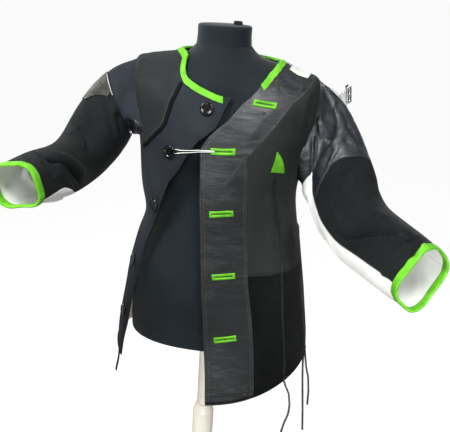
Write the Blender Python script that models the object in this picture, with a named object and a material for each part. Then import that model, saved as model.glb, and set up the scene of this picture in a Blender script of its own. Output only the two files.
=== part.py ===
"""Target-shooting jacket worn by a limbless dress form on a pole stand.

Metres, +Z up. The wearer's front faces -Y and the wearer's left is +X. The origin is on the floor, on the
stand's axis. Tables of sections are in millimetres, and turn angles in degrees: 0 at the centre front,
90 at the wearer's left side, 180 at the centre back, -90 (or 270) at the wearer's right side.
"""

import math

import bmesh
import bpy
import numpy as np
from mathutils import Vector

MM = 0.001

# Cloth and seams
WALL = 2.4 * MM
SEAM_GAP = 0.3 * MM
LAID_GAP = 0.6 * MM
TAPE = 1.3 * MM
NECK_TAPE_WIDTH = 15 * MM
CUFF_TAPE_WIDTH = 13 * MM
TAPE_TURN_IN = 9 * MM
INSIDE_EASE = 0.2 * MM
MITRE_LIMIT = 0.74
SPLIT_WAY = np.array([1.0, 0.37, 0.61])

# Buttons and buttonholes
BUTTON_RADIUS = 14 * MM
BUTTON_THICK = 3.6 * MM
SHANK_RADIUS = 4 * MM
SHANK_HEIGHT = 2.8 * MM
WELT_LENGTH = 51 * MM
WELT_WIDTH = 14 * MM
WELT_THICK = 1.8 * MM
SLOT_LENGTH = 43 * MM
SLOT_WIDTH = 2.2 * MM

# Stand
NECK_TOP = 1478 * MM
KNOB_RADIUS = 10 * MM
KNOB_HEIGHT = 8 * MM
POLE_RADIUS = 18 * MM
TUBE_RADIUS = 27 * MM
COLLAR_TOP = 522 * MM
COLLAR_FOOT = 500 * MM
BASE_RADIUS = 190 * MM
BASE_THICK = 12 * MM
BOSS_RADIUS = 44 * MM
BOSS_TOP = 24 * MM

# Rings of the dress form from the neck seam down: half sizes and heights at the front, left, back and
# right of each ring, and how square its corners are.
RING_COLUMNS = (
    "front", "front_z", "left", "left_z", "back", "back_z", "right", "right_z", "square",
)
FORM_RINGS = [
    (60, 1437, 60, 1437, 56, 1437, 60, 1437, 0.00),
    (70, 1408, 76, 1420, 64, 1428, 76, 1420, 0.00),
    (84, 1380, 104, 1408, 76, 1410, 104, 1408, 0.01),
    (98, 1350, 137, 1402, 90, 1385, 137, 1402, 0.02),
    (108, 1320, 167, 1390, 100, 1350, 167, 1390, 0.03),
    (114, 1290, 184, 1358, 105, 1315, 184, 1358, 0.04),
    (117, 1255, 183, 1300, 106, 1275, 183, 1300, 0.05),
    (114, 1200, 166, 1220, 100, 1200, 166, 1220, 0.05),
    (107, 1130, 148, 1130, 92, 1130, 148, 1130, 0.05),
    (105, 1060, 140, 1060, 88, 1060, 140, 1060, 0.05),
    (112, 1000, 150, 1000, 94, 1000, 150, 1000, 0.05),
    (125, 930, 172, 930, 107, 930, 172, 930, 0.05),
    (135, 860, 186, 860, 118, 860, 186, 860, 0.05),
    (138, 790, 191, 790, 124, 790, 191, 790, 0.05),
    (137, 755, 190, 755, 122, 755, 190, 755, 0.05),
]

# The inside of the jacket on the same rings, down to its hem (ring 15)
JACKET_RINGS = [
    (62, 1427, 62, 1437, 58, 1443, 62, 1437, 0.00),
    (73, 1410, 79, 1424, 67, 1432, 80, 1426, 0.00),
    (88, 1385, 106, 1411.5, 79, 1413.5, 107, 1414, 0.01),
    (103, 1353, 138, 1405.2, 94, 1388, 138, 1409, 0.02),
    (116, 1322, 167.5, 1390.9, 106, 1354, 166, 1404, 0.03),
    (127, 1290, 211, 1374, 113, 1318, 189, 1392, 0.04),
    (136, 1255, 212, 1308, 117, 1275, 188, 1325, 0.05),
    (144, 1200, 200, 1225, 117, 1200, 176, 1235, 0.05),
    (146, 1130, 184, 1130, 112, 1130, 169, 1130, 0.05),
    (147, 1060, 190, 1060, 112, 1060, 157, 1060, 0.05),
    (150, 1000, 203, 1000, 118, 1000, 175, 1000, 0.05),
    (156, 930, 215, 930, 130, 930, 192, 930, 0.05),
    (160, 860, 227, 860, 140, 860, 204, 860, 0.05),
    (165, 790, 236, 795, 147, 795, 214, 795, 0.05),
    (168, 713, 241, 760, 150, 755, 219, 757, 0.05),
    (170, 632, 244, 722, 155, 700, 222, 715, 0.05),
]
FORM_LAST = len(FORM_RINGS) - 1
HEM_ROW = float(len(JACKET_RINGS) - 1)

# The neckline: the ring that its edge lies on, at each turn
NECKLINE_COLUMNS = ("turn", "ring")
NECKLINE = [
    (-180, 1.80), (-135, 1.55), (-90, 1.30), (-60, 1.25), (-50, 1.40), (-41, 2.00), (-35, 2.42),
    (-28, 2.78), (-18, 2.95), (-8, 3.10), (6, 3.44), (20, 3.50), (38, 3.25), (52, 2.85), (70, 2.62),
    (90, 2.55), (110, 2.45), (135, 2.15), (180, 1.80),
]

# Rows of the body's grids. Row 3.5 is the neckline, and from 4.5 on a row is the ring of that number.
NECK_ROW = 3.5
YOKE_ROW = 4.5
COLLAR_ROWS = [3.5, 3.58, 3.66, 3.75, 4.0, 4.25, 4.5]
WAIST_ROWS = [8.0, 8.5, 9.0, 9.5, 10.0, 10.6, 11.3, 12.0, 12.75, 13.5, 14.25, 15.0]
ROWS = {
    "left": COLLAR_ROWS + [
        4.7, 4.8, 4.9, 5.0, 5.06, 5.24, 5.5, 5.85, 6.2, 6.45, 6.7, 6.95, 7.25, 7.45, 7.55, 7.65, 7.7,
    ] + WAIST_ROWS,
    "right": COLLAR_ROWS + [
        4.75, 5.0, 5.06, 5.24, 5.5, 5.85, 6.2, 6.45, 6.7, 6.88, 7.0, 7.05, 7.25, 7.45, 7.7,
    ] + WAIST_ROWS,
    "back": COLLAR_ROWS + [
        4.75, 5.0, 5.06, 5.24, 5.5, 5.85, 6.2, 6.7, 6.88, 7.05, 7.45, 7.65, 7.7,
    ] + WAIST_ROWS,
}
SHOULDER_TIP_ROW = 5.0
LEFT_UNDERARM_ROW = 7.7
RIGHT_UNDERARM_ROW = 7.05
WAIST_SEAM_ROW = 10.6
DART_ROW = 7.25
BAND_COLUMNS = 6
CHEST_COLUMNS = 3
SIDE_COLUMNS = 4
YOKE_COLUMNS = 6
FRONT_SHARES = np.array([0, 0.22, 0.44, 0.65, 0.85, 1.0])
BACK_COLUMNS = 16
CHEST_TOP_ROW = 4.5
ROLL_TOP_ROW = 3.82
CROSS_SEAM_TOP_ROW = 6.7

# Seam lines on the body: the turn of each seam at a row
LEFT_FRONT_EDGE = [
    (3.5, 38), (4.0, 20), (4.5, 13), (5.25, 4.5), (6.3, -5.5), (6.55, -6.5), (7.7, -5.7), (8.3, -5.5),
    (10.0, -2.5), (11.3, 0), (12.1, 1.5), (14.0, 4.5), (15.0, 5.5),
]
LEATHER_SEAM = [
    (4.5, 90), (4.7, 84), (4.8, 70), (4.9, 56), (5.0, 47), (5.24, 41.5), (5.5, 38), (6.05, 31), (6.63, 23),
    (6.7, 22), (7.25, 24), (7.93, 26.5), (8.5, 27), (10.8, 27), (12.3, 29.5), (15.0, 32),
]
CROSS_SEAM = [(6.7, 20.6), (7.05, 16.8), (7.25, 14.6), (7.45, 11.8), (7.55, 10.5), (7.7, -5.7)]
PRINCESS_SEAM = [
    (7.25, 41.5), (7.7, 44), (8.5, 48.5), (9.2, 51.5), (10.05, 51.5), (10.6, 50), (12.3, 49),
    (13.9, 50.5), (15.0, 51),
]
RIGHT_FRONT_EDGE = [
    (3.5, 13), (4.3, 7), (4.9, 4), (5.45, 1.5), (5.83, -3), (6.1, -7.5), (6.73, -15), (7.33, -22),
    (7.65, -28.5), (8.05, -33), (8.38, -37.5), (8.97, -45), (9.32, -47.5), (10.0, -49), (11.15, -49.5),
    (11.7, -51.5), (13.0, -52.5), (14.1, -56), (15.0, -58),
]
ROLLED_EDGE = [
    (3.5, -30.5), (4.3, -28.5), (5.1, -28), (5.8, -30), (6.15, -33), (6.55, -40.5), (6.88, -49),
    (7.05, -56), (7.25, -76), (7.45, -92),
]
RIGHT_SIDE_SEAM = [(7.05, -90), (7.45, -92), (9.0, -100), (11.0, -108), (15.0, -112)]

# Sleeves: ellipses on the way from the armhole to the cuff. x is away from the wearer's middle. The
# heading is 0 straight out to the side and 90 straight to the front, lean tips the top along it, and
# twist turns the cloth round the arm.
SLEEVE_COLUMNS = ("x", "y", "z", "high", "deep", "heading", "lean", "twist")
LEFT_SLEEVE = [
    (198, 0, 1262, 112, 58, 0, 6, 0),
    (239, -6, 1234, 97, 66, 8, 21, 0),
    (261, -25, 1202, 88, 71, 25, 29, -3),
    (277, -50, 1168, 84, 73, 38, 36, -6),
    (293, -82, 1137, 82, 72, 46, 33, -9),
    (306, -116, 1116, 77, 70, 50, 24, -12),
    (332, -172, 1096, 71, 67, 52, 12, -16),
    (370, -254, 1094, 66, 64, 52, 6, -20),
    (406, -328, 1092, 62, 63, 50, 5, -24),
    (424, -362, 1089, 60, 63, 46, 6, -26),
]
RIGHT_SLEEVE = [
    (184, 0, 1312, 82, 60, 0, 3, 0),
    (214, -2, 1303, 74, 62, 5, 12, 0),
    (236, -12, 1280, 71, 63, 14, 28, 0),
    (256, -32, 1251, 70, 63, 30, 38, 0),
    (273, -64, 1218, 67, 61, 50, 38, 0),
    (287, -108, 1190, 58, 57, 70, 24, 0),
    (297, -154, 1179, 55, 54, 80, 6, 0),
    (303, -212, 1180, 53, 52, 86, 0, 0),
    (311, -282, 1189, 50, 49, 88, 4, 0),
    (319, -342, 1192, 48, 45, 90, 11, 0),
    (323, -370, 1193, 47, 42, 91, 15, 0),
]
ARMHOLE_FADE = 1.6
LEATHER_END = 3.5
# Lower edge of the left sleeve's leather: angle (past 360 on the front), place along
LEATHER_SLEEVE_EDGE = [
    (168, 3.5), (250, 3.35), (345, 3.2), (385, 2.9), (408, 2.6), (423, 2.53), (438, 2.72), (455, 3.1), (469, 3.5),
]
CAP_END = 1.55
STRIP_START = 3.2
UPPER_STATIONS = [CAP_END, 1.83, 2.1, 2.37, 2.65, 2.93, STRIP_START]
LEFT_CUFF = float(len(LEFT_SLEEVE) - 1)
RIGHT_CUFF = float(len(RIGHT_SLEEVE) - 1)

# Armholes: how far the front edge stands off the shoulder line at each row, and the back edge at most,
# in degrees of turn
ARMHOLES = {
    "left": {
        "under_row": LEFT_UNDERARM_ROW,
        "front": [
            (5.0, 0), (5.24, 1.5), (5.5, 3), (5.85, 5), (6.2, 9), (6.45, 15), (6.7, 22), (6.95, 26),
            (7.25, 24), (7.45, 19), (7.55, 15), (7.65, 8), (7.7, 0),
        ],
        "back": 23,
    },
    "right": {
        "under_row": RIGHT_UNDERARM_ROW,
        "front": [
            (5.0, 0), (5.06, 5), (5.24, 11), (5.5, 15), (5.85, 18), (6.2, 26), (6.45, 33), (6.7, 34),
            (6.88, 28), (7.0, 16), (7.05, 0),
        ],
        "back": 24,
    },
}

# Fasteners: where each one sits on the body, by turn and row
BUTTON_PLACES = [(-4.5, 4.30), (-27.5, 6.78), (-44.0, 8.47), (-60.5, 10.82), (-60.5, 12.70)]
BUTTON_SINK = [0.1, 0.1, 0.5, 0.65, 0.0]
HOLE_COLUMNS = ("turn", "row", "tilt")
HOLE_PLACES = [
    (32.5, 4.44, 33), (7.5, 6.45, 0), (10.0, 8.43, -7), (12.5, 10.62, -8), (14.5, 12.75, -10),
]


def srgb(code):
    """Linear colour of a hex code such as 7BE81A."""
    parts = [int(code[i:i + 2], 16) / 255 for i in (0, 2, 4)]
    return [p / 12.92 if p <= 0.04045 else ((p + 0.055) / 1.055) ** 2.4 for p in parts] + [1.0]


def material(name, code, roughness, metallic=0.0):
    made = bpy.data.materials.new(name)
    made.use_nodes = True
    shader = made.node_tree.nodes["Principled BSDF"]
    shader.inputs["Base Color"].default_value = srgb(code)
    shader.inputs["Roughness"].default_value = roughness
    shader.inputs["Metallic"].default_value = metallic
    return made


def smooth_read(table, where):
    """Reads a table of sections at fractional row numbers, on a Catmull-Rom curve."""
    rows = np.array(table, float)
    where = np.asarray(where, float)
    last = len(rows) - 1
    base = np.clip(np.floor(where).astype(int), 0, last - 1)
    part = (where - base)[..., None]
    before = rows[np.maximum(base - 1, 0)]
    here = rows[base]
    there = rows[base + 1]
    after = rows[np.minimum(base + 2, last)]
    bend = 2 * before - 5 * here + 4 * there - after + part * (3 * (here - there) + after - before)
    return here + 0.5 * part * (there - before + part * bend)


def line_read(table, where):
    """Reads a two-column table along straight stretches."""
    columns = np.array(table, float)
    return np.interp(where, columns[:, 0], columns[:, 1])


def unit(vectors):
    return vectors / np.linalg.norm(vectors, axis=-1, keepdims=True)


def ring_point(table, turn, ring):
    """Point on a body of rings: an ellipse whose half sizes and height differ at its four sides."""
    turn, ring = np.broadcast_arrays(np.asarray(turn, float), np.asarray(ring, float))
    read = dict(zip(RING_COLUMNS, np.moveaxis(smooth_read(table, ring), -1, 0)))
    across = np.sin(np.radians(turn))
    ahead = np.cos(np.radians(turn))
    side = np.where(across > 0, read["left"], read["right"])
    side_z = np.where(across > 0, read["left_z"], read["right_z"])
    face = np.where(ahead > 0, read["front"], read["back"])
    face_z = np.where(ahead > 0, read["front_z"], read["back_z"])
    swell = 1 + read["square"] * (2 * across * ahead) ** 2
    height = face_z * ahead**2 + side_z * across**2
    return np.stack([side * across * swell, -face * ahead * swell, height], axis=-1) * MM


def with_normals(point_at, u, v):
    """Points and outward normals of a surface given by a function of two numbers."""
    step_u, step_v = 0.05, 0.005
    u, v = np.broadcast_arrays(np.asarray(u, float), np.asarray(v, float))
    along_u = point_at(u + step_u, v) - point_at(u - step_u, v)
    along_v = point_at(u, v + step_v) - point_at(u, v - step_v)
    return point_at(u, v), unit(np.cross(along_v, along_u))


def form_point(turn, ring):
    return ring_point(FORM_RINGS, turn, ring)


def body_point(turn, row):
    """Inside of the jacket's body. Above the yoke the rows share out the way from the neckline."""
    turn, row = np.broadcast_arrays(np.asarray(turn, float), np.asarray(row, float))
    wrapped = (turn + 180) % 360 - 180
    neck = line_read(NECKLINE, wrapped)
    ring = np.where(row < YOKE_ROW, neck + (YOKE_ROW - neck) * (row - NECK_ROW), row)
    return ring_point(JACKET_RINGS, turn, ring)


def body_surface(turn, row):
    return with_normals(body_point, turn, row)


def armhole_angle(side, row):
    """Angle round the armhole at a row: 0 at the shoulder tip and 180 under the arm."""
    under = ARMHOLES[side]["under_row"]
    middle, half = (SHOULDER_TIP_ROW + under) / 2, (under - SHOULDER_TIP_ROW) / 2
    return np.degrees(np.arccos(np.clip((middle - np.asarray(row, float)) / half, -1, 1)))


def armhole_turn(side, angle):
    """Turn of the armhole's edge. Angles up to 180 are its front edge, and on to 360 its back edge."""
    hole = ARMHOLES[side]
    round_it = np.sin(np.radians(angle))
    front = line_read(hole["front"], armhole_row(side, angle))
    off = np.where(round_it > 0, front, -hole["back"] * np.abs(round_it))
    return 90 - off if side == "left" else off - 90


def armhole_row(side, angle):
    under = ARMHOLES[side]["under_row"]
    middle, half = (SHOULDER_TIP_ROW + under) / 2, (under - SHOULDER_TIP_ROW) / 2
    return middle - half * np.cos(np.radians(angle))


def sleeve_ellipse(side, angle, along):
    """Point on the sleeve's own ellipse: angle 0 is its top and 90 its front."""
    table = LEFT_SLEEVE if side == "left" else RIGHT_SLEEVE
    read = dict(zip(SLEEVE_COLUMNS, np.moveaxis(smooth_read(table, along), -1, 0)))
    mirror = 1 if side == "left" else -1
    heading, lean = np.radians(read["heading"]), np.radians(read["lean"])
    zero = np.zeros_like(heading)
    top = np.stack(
        [np.cos(heading) * np.sin(lean), -np.sin(heading) * np.sin(lean), np.cos(lean)], axis=-1
    )
    front = np.stack([-np.sin(heading), -np.cos(heading), zero], axis=-1)
    centre = np.stack([read["x"], read["y"], read["z"]], axis=-1)
    angle = angle + read["twist"]
    high = (read["high"] * np.cos(np.radians(angle)))[..., None]
    deep = (read["deep"] * np.sin(np.radians(angle)))[..., None]
    return (centre + high * top + deep * front) * MM * np.array([mirror, 1, 1])


def sleeve_point(side, angle, along):
    """Inside of a sleeve. It starts on the armhole's edge and fades into the ellipses."""
    angle, along = np.broadcast_arrays(np.asarray(angle, float), np.asarray(along, float))
    edge = body_point(armhole_turn(side, angle % 360), armhole_row(side, angle))
    part = np.clip(along / ARMHOLE_FADE, 0, 1)
    fade = (1 - part * part * (3 - 2 * part))[..., None]
    start = sleeve_ellipse(side, angle, np.zeros_like(along))
    return sleeve_ellipse(side, angle, along) + fade * (edge - start)


def sleeve_surface(side):
    def point_at(u, v):
        return sleeve_point(side, u, np.maximum(v, 0))

    def surface(angle, along):
        _, normals = with_normals(point_at, angle, np.maximum(along, 0.006))
        return point_at(angle, along), normals * (1 if side == "right" else -1)

    return surface


def armhole_rim(side, angle):
    """Wall vector at the armhole seam, mitred between the body and the sleeve, which both use it."""
    _, body = body_surface(armhole_turn(side, angle % 360), armhole_row(side, angle))
    _, sleeve = sleeve_surface(side)(angle, np.full_like(np.asarray(angle, float), 0.12))
    middle = unit(body + sleeve)
    cosine = np.maximum((middle * body).sum(-1, keepdims=True), MITRE_LIMIT)
    return middle * WALL / cosine


def make_object(name, points, faces, finish):
    mesh = bpy.data.meshes.new(name)
    mesh.from_pydata([tuple(map(float, p)) for p in points], [], faces)
    mesh.materials.append(finish)
    sort_out_faces(mesh)
    made = bpy.data.objects.new(name, mesh)
    bpy.context.scene.collection.objects.link(made)
    return made


def sort_out_faces(mesh):
    """Points the faces of a closed mesh outwards and shades it smooth between sharp edges."""
    work = bmesh.new()
    work.from_mesh(mesh)
    bmesh.ops.recalc_face_normals(work, faces=work.faces)
    if work.calc_volume(signed=True) < 0:
        bmesh.ops.reverse_faces(work, faces=work.faces)
    work.to_mesh(mesh)
    work.free()
    mesh.shade_smooth()
    mesh.set_sharp_from_angle(angle=math.radians(40))


def welded(points):
    """A number for each grid point, the same for points that share one place."""
    flat = np.round(points.reshape(-1, 3) / (0.01 * MM)).astype(int)
    _, first, group = np.unique(flat, axis=0, return_index=True, return_inverse=True)
    return first[group.ravel()].reshape(points.shape[:2])


def grid_faces(points, normals, keep):
    """Faces of a grid's kept cells, turned so that they run anticlockwise seen from outside."""
    number = welded(points)
    faces = []
    for i, j in zip(*np.nonzero(keep)):
        corners = [(i, j), (i, j + 1), (i + 1, j + 1), (i + 1, j)]
        around = np.array([points[c] for c in corners])
        across = np.cross(around[2] - around[0], around[3] - around[1])
        if across @ normals[i, j] < 0:
            corners.reverse()
        ids = [int(number[c]) for c in corners]
        ids = [k for m, k in enumerate(ids) if k != ids[m - 1]]
        if len(ids) > 2:
            faces.append(ids)
    return faces


def rim_edges(faces):
    """Edges that only one face has, in the direction that the face runs along them."""
    edges = {(a, b) for face in faces for a, b in zip(face, face[1:] + face[:1])}
    return [(a, b) for a, b in edges if (b, a) not in edges]


def drawn_in(points, normals, edges, gap):
    """Points with a sheet's rim moved inwards along the sheet, mitred where the rim turns."""
    inward = {}
    for a, b in edges:
        for end in (a, b):
            inward.setdefault(end, []).append(unit(np.cross(normals[end], points[b] - points[a])))
    moved = points.copy()
    for end, ways in inward.items():
        one, two = ways[0], ways[-1]
        moved[end] += (one + two) / max(1 + one @ two, 0.25) * gap
    return moved


def sheet_solid(name, points, normals, wall, finish, keep=None, low=0.0, gap=SEAM_GAP / 2):
    """Closed wall over a grid of points, from low above them to the end of the wall vectors."""
    if keep is None:
        keep = np.ones((points.shape[0] - 1, points.shape[1] - 1), bool)
    faces = grid_faces(points, normals, keep)
    edges = rim_edges(faces)
    flat_normals = normals.reshape(-1, 3)
    inner = drawn_in(points.reshape(-1, 3), flat_normals, edges, gap) + flat_normals * low
    outer = inner + wall.reshape(-1, 3)
    used = sorted({k for face in faces for k in face})
    place = {k: m for m, k in enumerate(used)}
    count = len(used)
    outside = [[place[k] + count for k in face] for face in faces]
    inside = [[place[k] for k in reversed(face)] for face in faces]
    rim = []
    for a, b in edges:
        # Both sides of a seam split their rims the same way, so that they stay clear of each other
        low_first = points.reshape(-1, 3)[a] @ SPLIT_WAY < points.reshape(-1, 3)[b] @ SPLIT_WAY
        a, b = place[a], place[b]
        if low_first:
            rim += [[a, b, b + count], [a, b + count, a + count]]
        else:
            rim += [[a, b, a + count], [b, b + count, a + count]]
    return make_object(name, np.concatenate([inner[used], outer[used]]), outside + inside + rim, finish)


def panel(name, surface, turns, rows, finish, rims=(), keep=None):
    """A cut piece of cloth: a grid on a surface, a wall thick. rims are (mask, wall vectors) pairs."""
    points, normals = surface(turns, rows)
    wall = normals * WALL
    for mask, vectors in rims:
        wall[mask] = vectors
    return sheet_solid(name, points, normals, wall, finish, keep)


def laid_piece(name, surface, turns, rows, thick, finish, gap=LAID_GAP):
    """A piece that lies on a panel: the panel's outer points, moved out."""
    points, normals = surface(turns, rows)
    return sheet_solid(name, points, normals, normals * thick, finish, low=WALL + gap, gap=0)


def row_span(side, first, last):
    rows = np.array(ROWS[side])
    return rows[(rows >= first - 1e-6) & (rows <= last + 1e-6)]


def body_grid(rows, first, last, columns):
    """Turns and rows of a panel whose two edges are given at each row."""
    share = np.linspace(0, 1, columns + 1)[None, :]
    turns = first[:, None] + (last - first)[:, None] * share
    return turns, np.repeat(rows[:, None], columns + 1, axis=1)


def side_edge(side, rows, which, seam):
    """Turn of a panel's edge down a side: shoulder seam, then armhole, then side seam."""
    mirror = 1 if side == "left" else -1
    under = ARMHOLES[side]["under_row"]
    angle = armhole_angle(side, rows)
    angle = angle if which == "front" else 360 - angle
    edge = np.where(
        (rows >= SHOULDER_TIP_ROW) & (rows <= under), armhole_turn(side, angle), mirror * 90.0
    )
    return np.where(rows > under, seam(rows), edge)


def armhole_rims(side, which, rows, columns, column):
    """Mask and wall vectors of a panel's points along the armhole."""
    mask = np.zeros((len(rows), columns + 1), bool)
    near = (rows >= SHOULDER_TIP_ROW - 1e-6) & (rows <= ARMHOLES[side]["under_row"] + 1e-6)
    mask[near, column] = True
    angle = armhole_angle(side, rows[near])
    angle = angle if which == "front" else 360 - angle
    return mask, armhole_rim(side, angle)


def left_side_seam(rows):
    return np.full(len(rows), 90.0)


def right_side_seam(rows):
    return line_read(RIGHT_SIDE_SEAM, rows)


def back_panels(finish):
    """Back in two halves that meet at a centre seam, each open at its armhole."""
    rows = row_span("back", NECK_ROW, HEM_ROW)
    half = BACK_COLUMNS // 2
    left = side_edge("left", rows, "back", left_side_seam)
    right = side_edge("right", rows, "back", right_side_seam) + 360
    centre = np.full(len(rows), 180.0)
    turns, grid = body_grid(rows, left, centre, half)
    panel("back_left", body_surface, turns, grid, finish, [armhole_rims("left", "back", rows, half, 0)])
    turns, grid = body_grid(rows, centre, right, half)
    panel("back_right", body_surface, turns, grid, finish, [armhole_rims("right", "back", rows, half, half)])


def left_front_panels(leather, canvas, skirt):
    """Leather front band in two pieces, canvas chest, skirt, and the side in two pieces."""
    rows = row_span("left", NECK_ROW, 7.7)
    outer = np.where(rows <= CHEST_TOP_ROW, 90.0, line_read(LEATHER_SEAM, rows))
    outer = np.where(rows >= CROSS_SEAM_TOP_ROW, line_read(CROSS_SEAM, rows), outer)
    turns, grid = body_grid(rows, line_read(LEFT_FRONT_EDGE, rows), outer, BAND_COLUMNS)
    panel("front_left_leather_upper", body_surface, turns, grid, leather)

    rows = row_span("left", CROSS_SEAM_TOP_ROW, HEM_ROW)
    inner = np.where(rows <= 7.7, line_read(CROSS_SEAM, rows), line_read(LEFT_FRONT_EDGE, rows))
    inner = np.where(rows <= CROSS_SEAM_TOP_ROW, line_read(LEATHER_SEAM, rows), inner)
    turns, grid = body_grid(rows, inner, line_read(LEATHER_SEAM, rows), 4)
    panel("front_left_leather_lower", body_surface, turns, grid, leather)

    # The chest's upper rows run on to the armhole, over the head of the side piece
    rows = row_span("left", CHEST_TOP_ROW, WAIST_SEAM_ROW)
    inner = line_read(LEATHER_SEAM, rows)
    outer = side_edge("left", rows, "front", left_side_seam)
    share = (line_read(PRINCESS_SEAM, DART_ROW) - inner) / (outer - inner + 1e-9)
    share = float(share[rows == DART_ROW][0])
    middle = np.where(rows >= DART_ROW, line_read(PRINCESS_SEAM, rows), inner + (outer - inner) * share)
    chest, grid = body_grid(rows, inner, middle, CHEST_COLUMNS)
    side, _ = body_grid(rows, middle, outer, SIDE_COLUMNS)
    turns = np.concatenate([chest, side[:, 1:]], axis=1)
    grid = np.repeat(rows[:, None], turns.shape[1], axis=1)
    mask, vectors = armhole_rims("left", "front", rows, turns.shape[1] - 1, -1)
    on_chest = rows[mask[:, -1]] <= DART_ROW
    mask[rows > DART_ROW, -1] = False
    keep = np.ones((len(rows) - 1, turns.shape[1] - 1), bool)
    keep[rows[:-1] >= DART_ROW, CHEST_COLUMNS:] = False
    panel(
        "front_left_chest", body_surface, turns, grid, canvas, [(mask, vectors[on_chest])], keep
    )

    rows = row_span("left", WAIST_SEAM_ROW, HEM_ROW)
    turns, grid = body_grid(
        rows, line_read(LEATHER_SEAM, rows), line_read(PRINCESS_SEAM, rows), CHEST_COLUMNS
    )
    panel("front_left_skirt", body_surface, turns, grid, skirt)

    rows = row_span("left", DART_ROW, WAIST_SEAM_ROW)
    outer = side_edge("left", rows, "front", left_side_seam)
    turns, grid = body_grid(rows, line_read(PRINCESS_SEAM, rows), outer, SIDE_COLUMNS)
    rims = [armhole_rims("left", "front", rows, SIDE_COLUMNS, SIDE_COLUMNS)]
    panel("side_left_upper", body_surface, turns, grid, canvas, rims)

    rows = row_span("left", WAIST_SEAM_ROW, HEM_ROW)
    turns, grid = body_grid(rows, line_read(PRINCESS_SEAM, rows), left_side_seam(rows), SIDE_COLUMNS)
    panel("side_left_skirt", body_surface, turns, grid, skirt)


def right_front_panels(yoke, canvas):
    """Chest piece with the rolled edge, and the long front that comes out from under it."""
    rows = row_span("right", NECK_ROW, 7.45)
    columns = YOKE_COLUMNS
    outer = side_edge("right", rows, "front", right_side_seam)
    turns, grid = body_grid(rows, outer, line_read(ROLLED_EDGE, rows), columns)
    under = np.zeros(turns.shape, bool)
    under[rows == RIGHT_UNDERARM_ROW, 1] = True
    rims = [
        armhole_rims("right", "front", rows, columns, 0),
        (under, armhole_rim("right", np.array([168.0]))),
    ]
    panel("front_right_chest", body_surface, turns, grid, yoke, rims)

    rows = row_span("right", NECK_ROW, HEM_ROW)
    outer = np.where(rows <= 7.45, line_read(ROLLED_EDGE, rows), right_side_seam(rows))
    inner = line_read(RIGHT_FRONT_EDGE, rows)
    turns = outer[:, None] + (inner - outer)[:, None] * FRONT_SHARES
    grid = np.repeat(rows[:, None], len(FRONT_SHARES), axis=1)
    panel("front_right", body_surface, turns, grid, canvas)


def rolled_edge_welt(finish):
    """A soft black roll, 9 mm wide and 4 mm high, that covers the edge of the right chest piece."""
    half, height, sides = 4.5 * MM, 4 * MM, 7
    rows = np.concatenate([[ROLL_TOP_ROW], row_span("right", 4.0, 7.05)])
    turns = line_read(ROLLED_EDGE, rows)
    points, normals = body_surface(turns, rows)
    across = unit(np.cross(normals, np.gradient(points, axis=0)))
    arc = np.radians(np.linspace(0, 180, sides))
    rings = [
        points + normals * (WALL + LAID_GAP + height * math.sin(a)) + across * half * math.cos(a)
        for a in arc
    ]
    profile_sweep("front_right_rolled_edge", np.stack(rings, axis=1), finish)


def profile_sweep(name, sections, finish, closed=False):
    """Solid through a row of closed sections, stations by points by xyz. It is capped unless closed."""
    stations, sides = sections.shape[:2]
    faces = []
    for i in range(stations if closed else stations - 1):
        j = (i + 1) % stations
        for k in range(sides):
            m = (k + 1) % sides
            faces.append([i * sides + k, i * sides + m, j * sides + m, j * sides + k])
    if not closed:
        faces.append([k for k in range(sides)])
        faces.append([(stations - 1) * sides + k for k in reversed(range(sides))])
    return make_object(name, sections.reshape(-1, 3), faces, finish)


def tape_sections(surface, turns, edge, inward, width):
    """Sections of a binding tape folded over an edge: outside leg, fold, and inside leg.

    edge is the row of the edge at each turn, and inward is the sign of a step of rows into the cloth.
    """
    def at(distance):
        step = 0.01 * inward
        here, _ = surface(turns, edge)
        there, _ = surface(turns, edge + step)
        pace = np.linalg.norm(there - here, axis=-1) / abs(step)
        return surface(turns, edge + inward * distance / pace)

    points, normals = at(0)
    inside, _ = at(2 * MM)
    beyond = unit(points - inside)
    out_low, out_high = WALL + LAID_GAP, WALL + LAID_GAP + TAPE
    in_high, in_low = -LAID_GAP - INSIDE_EASE, -LAID_GAP - INSIDE_EASE - TAPE
    half_leg, half_leg_normals = at(width / 2)
    leg, leg_normals = at(width)
    turn_in, turn_in_normals = at(TAPE_TURN_IN)
    rim, fold = SEAM_GAP, SEAM_GAP + TAPE
    return np.stack([
        leg + leg_normals * out_high,
        half_leg + half_leg_normals * out_high,
        points + normals * out_high,
        points + beyond * fold + normals * WALL,
        points + beyond * fold,
        points + normals * in_low,
        turn_in + turn_in_normals * in_low,
        turn_in + turn_in_normals * in_high,
        points + normals * in_high + beyond * rim,
        points + normals * out_low + beyond * rim,
        half_leg + half_leg_normals * out_low,
        leg + leg_normals * out_low,
    ], axis=1)


def neck_binding(finish):
    """Bright tape round the whole neckline, from the right front's corner to the left front edge."""
    fold = line_read(ROLLED_EDGE, NECK_ROW)
    edge = line_read(RIGHT_FRONT_EDGE, NECK_ROW)
    right = (fold + (edge - fold) * FRONT_SHARES)[-2::-1]
    yoke = np.linspace(fold, -90, YOKE_COLUMNS + 1)
    back = np.linspace(-90, -270, BACK_COLUMNS + 1)
    left = np.linspace(-270, line_read(LEFT_FRONT_EDGE, NECK_ROW) - 360, BAND_COLUMNS + 1)
    turns = np.concatenate([right, yoke[1:], back[1:], left[1:]])
    edge = np.full(len(turns), NECK_ROW)
    sections = tape_sections(body_surface, turns, edge, 1, NECK_TAPE_WIDTH)
    profile_sweep("neck_binding", sections, finish)


def sleeve_stations(side):
    """Angles round a sleeve that match the rows of the front and of the back along the armhole."""
    under = ARMHOLES[side]["under_row"]
    front = armhole_angle(side, row_span(side, SHOULDER_TIP_ROW, under))
    back = armhole_angle(side, row_span("back", SHOULDER_TIP_ROW, under))
    return np.concatenate([front, 360 - back[-2::-1]])


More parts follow.
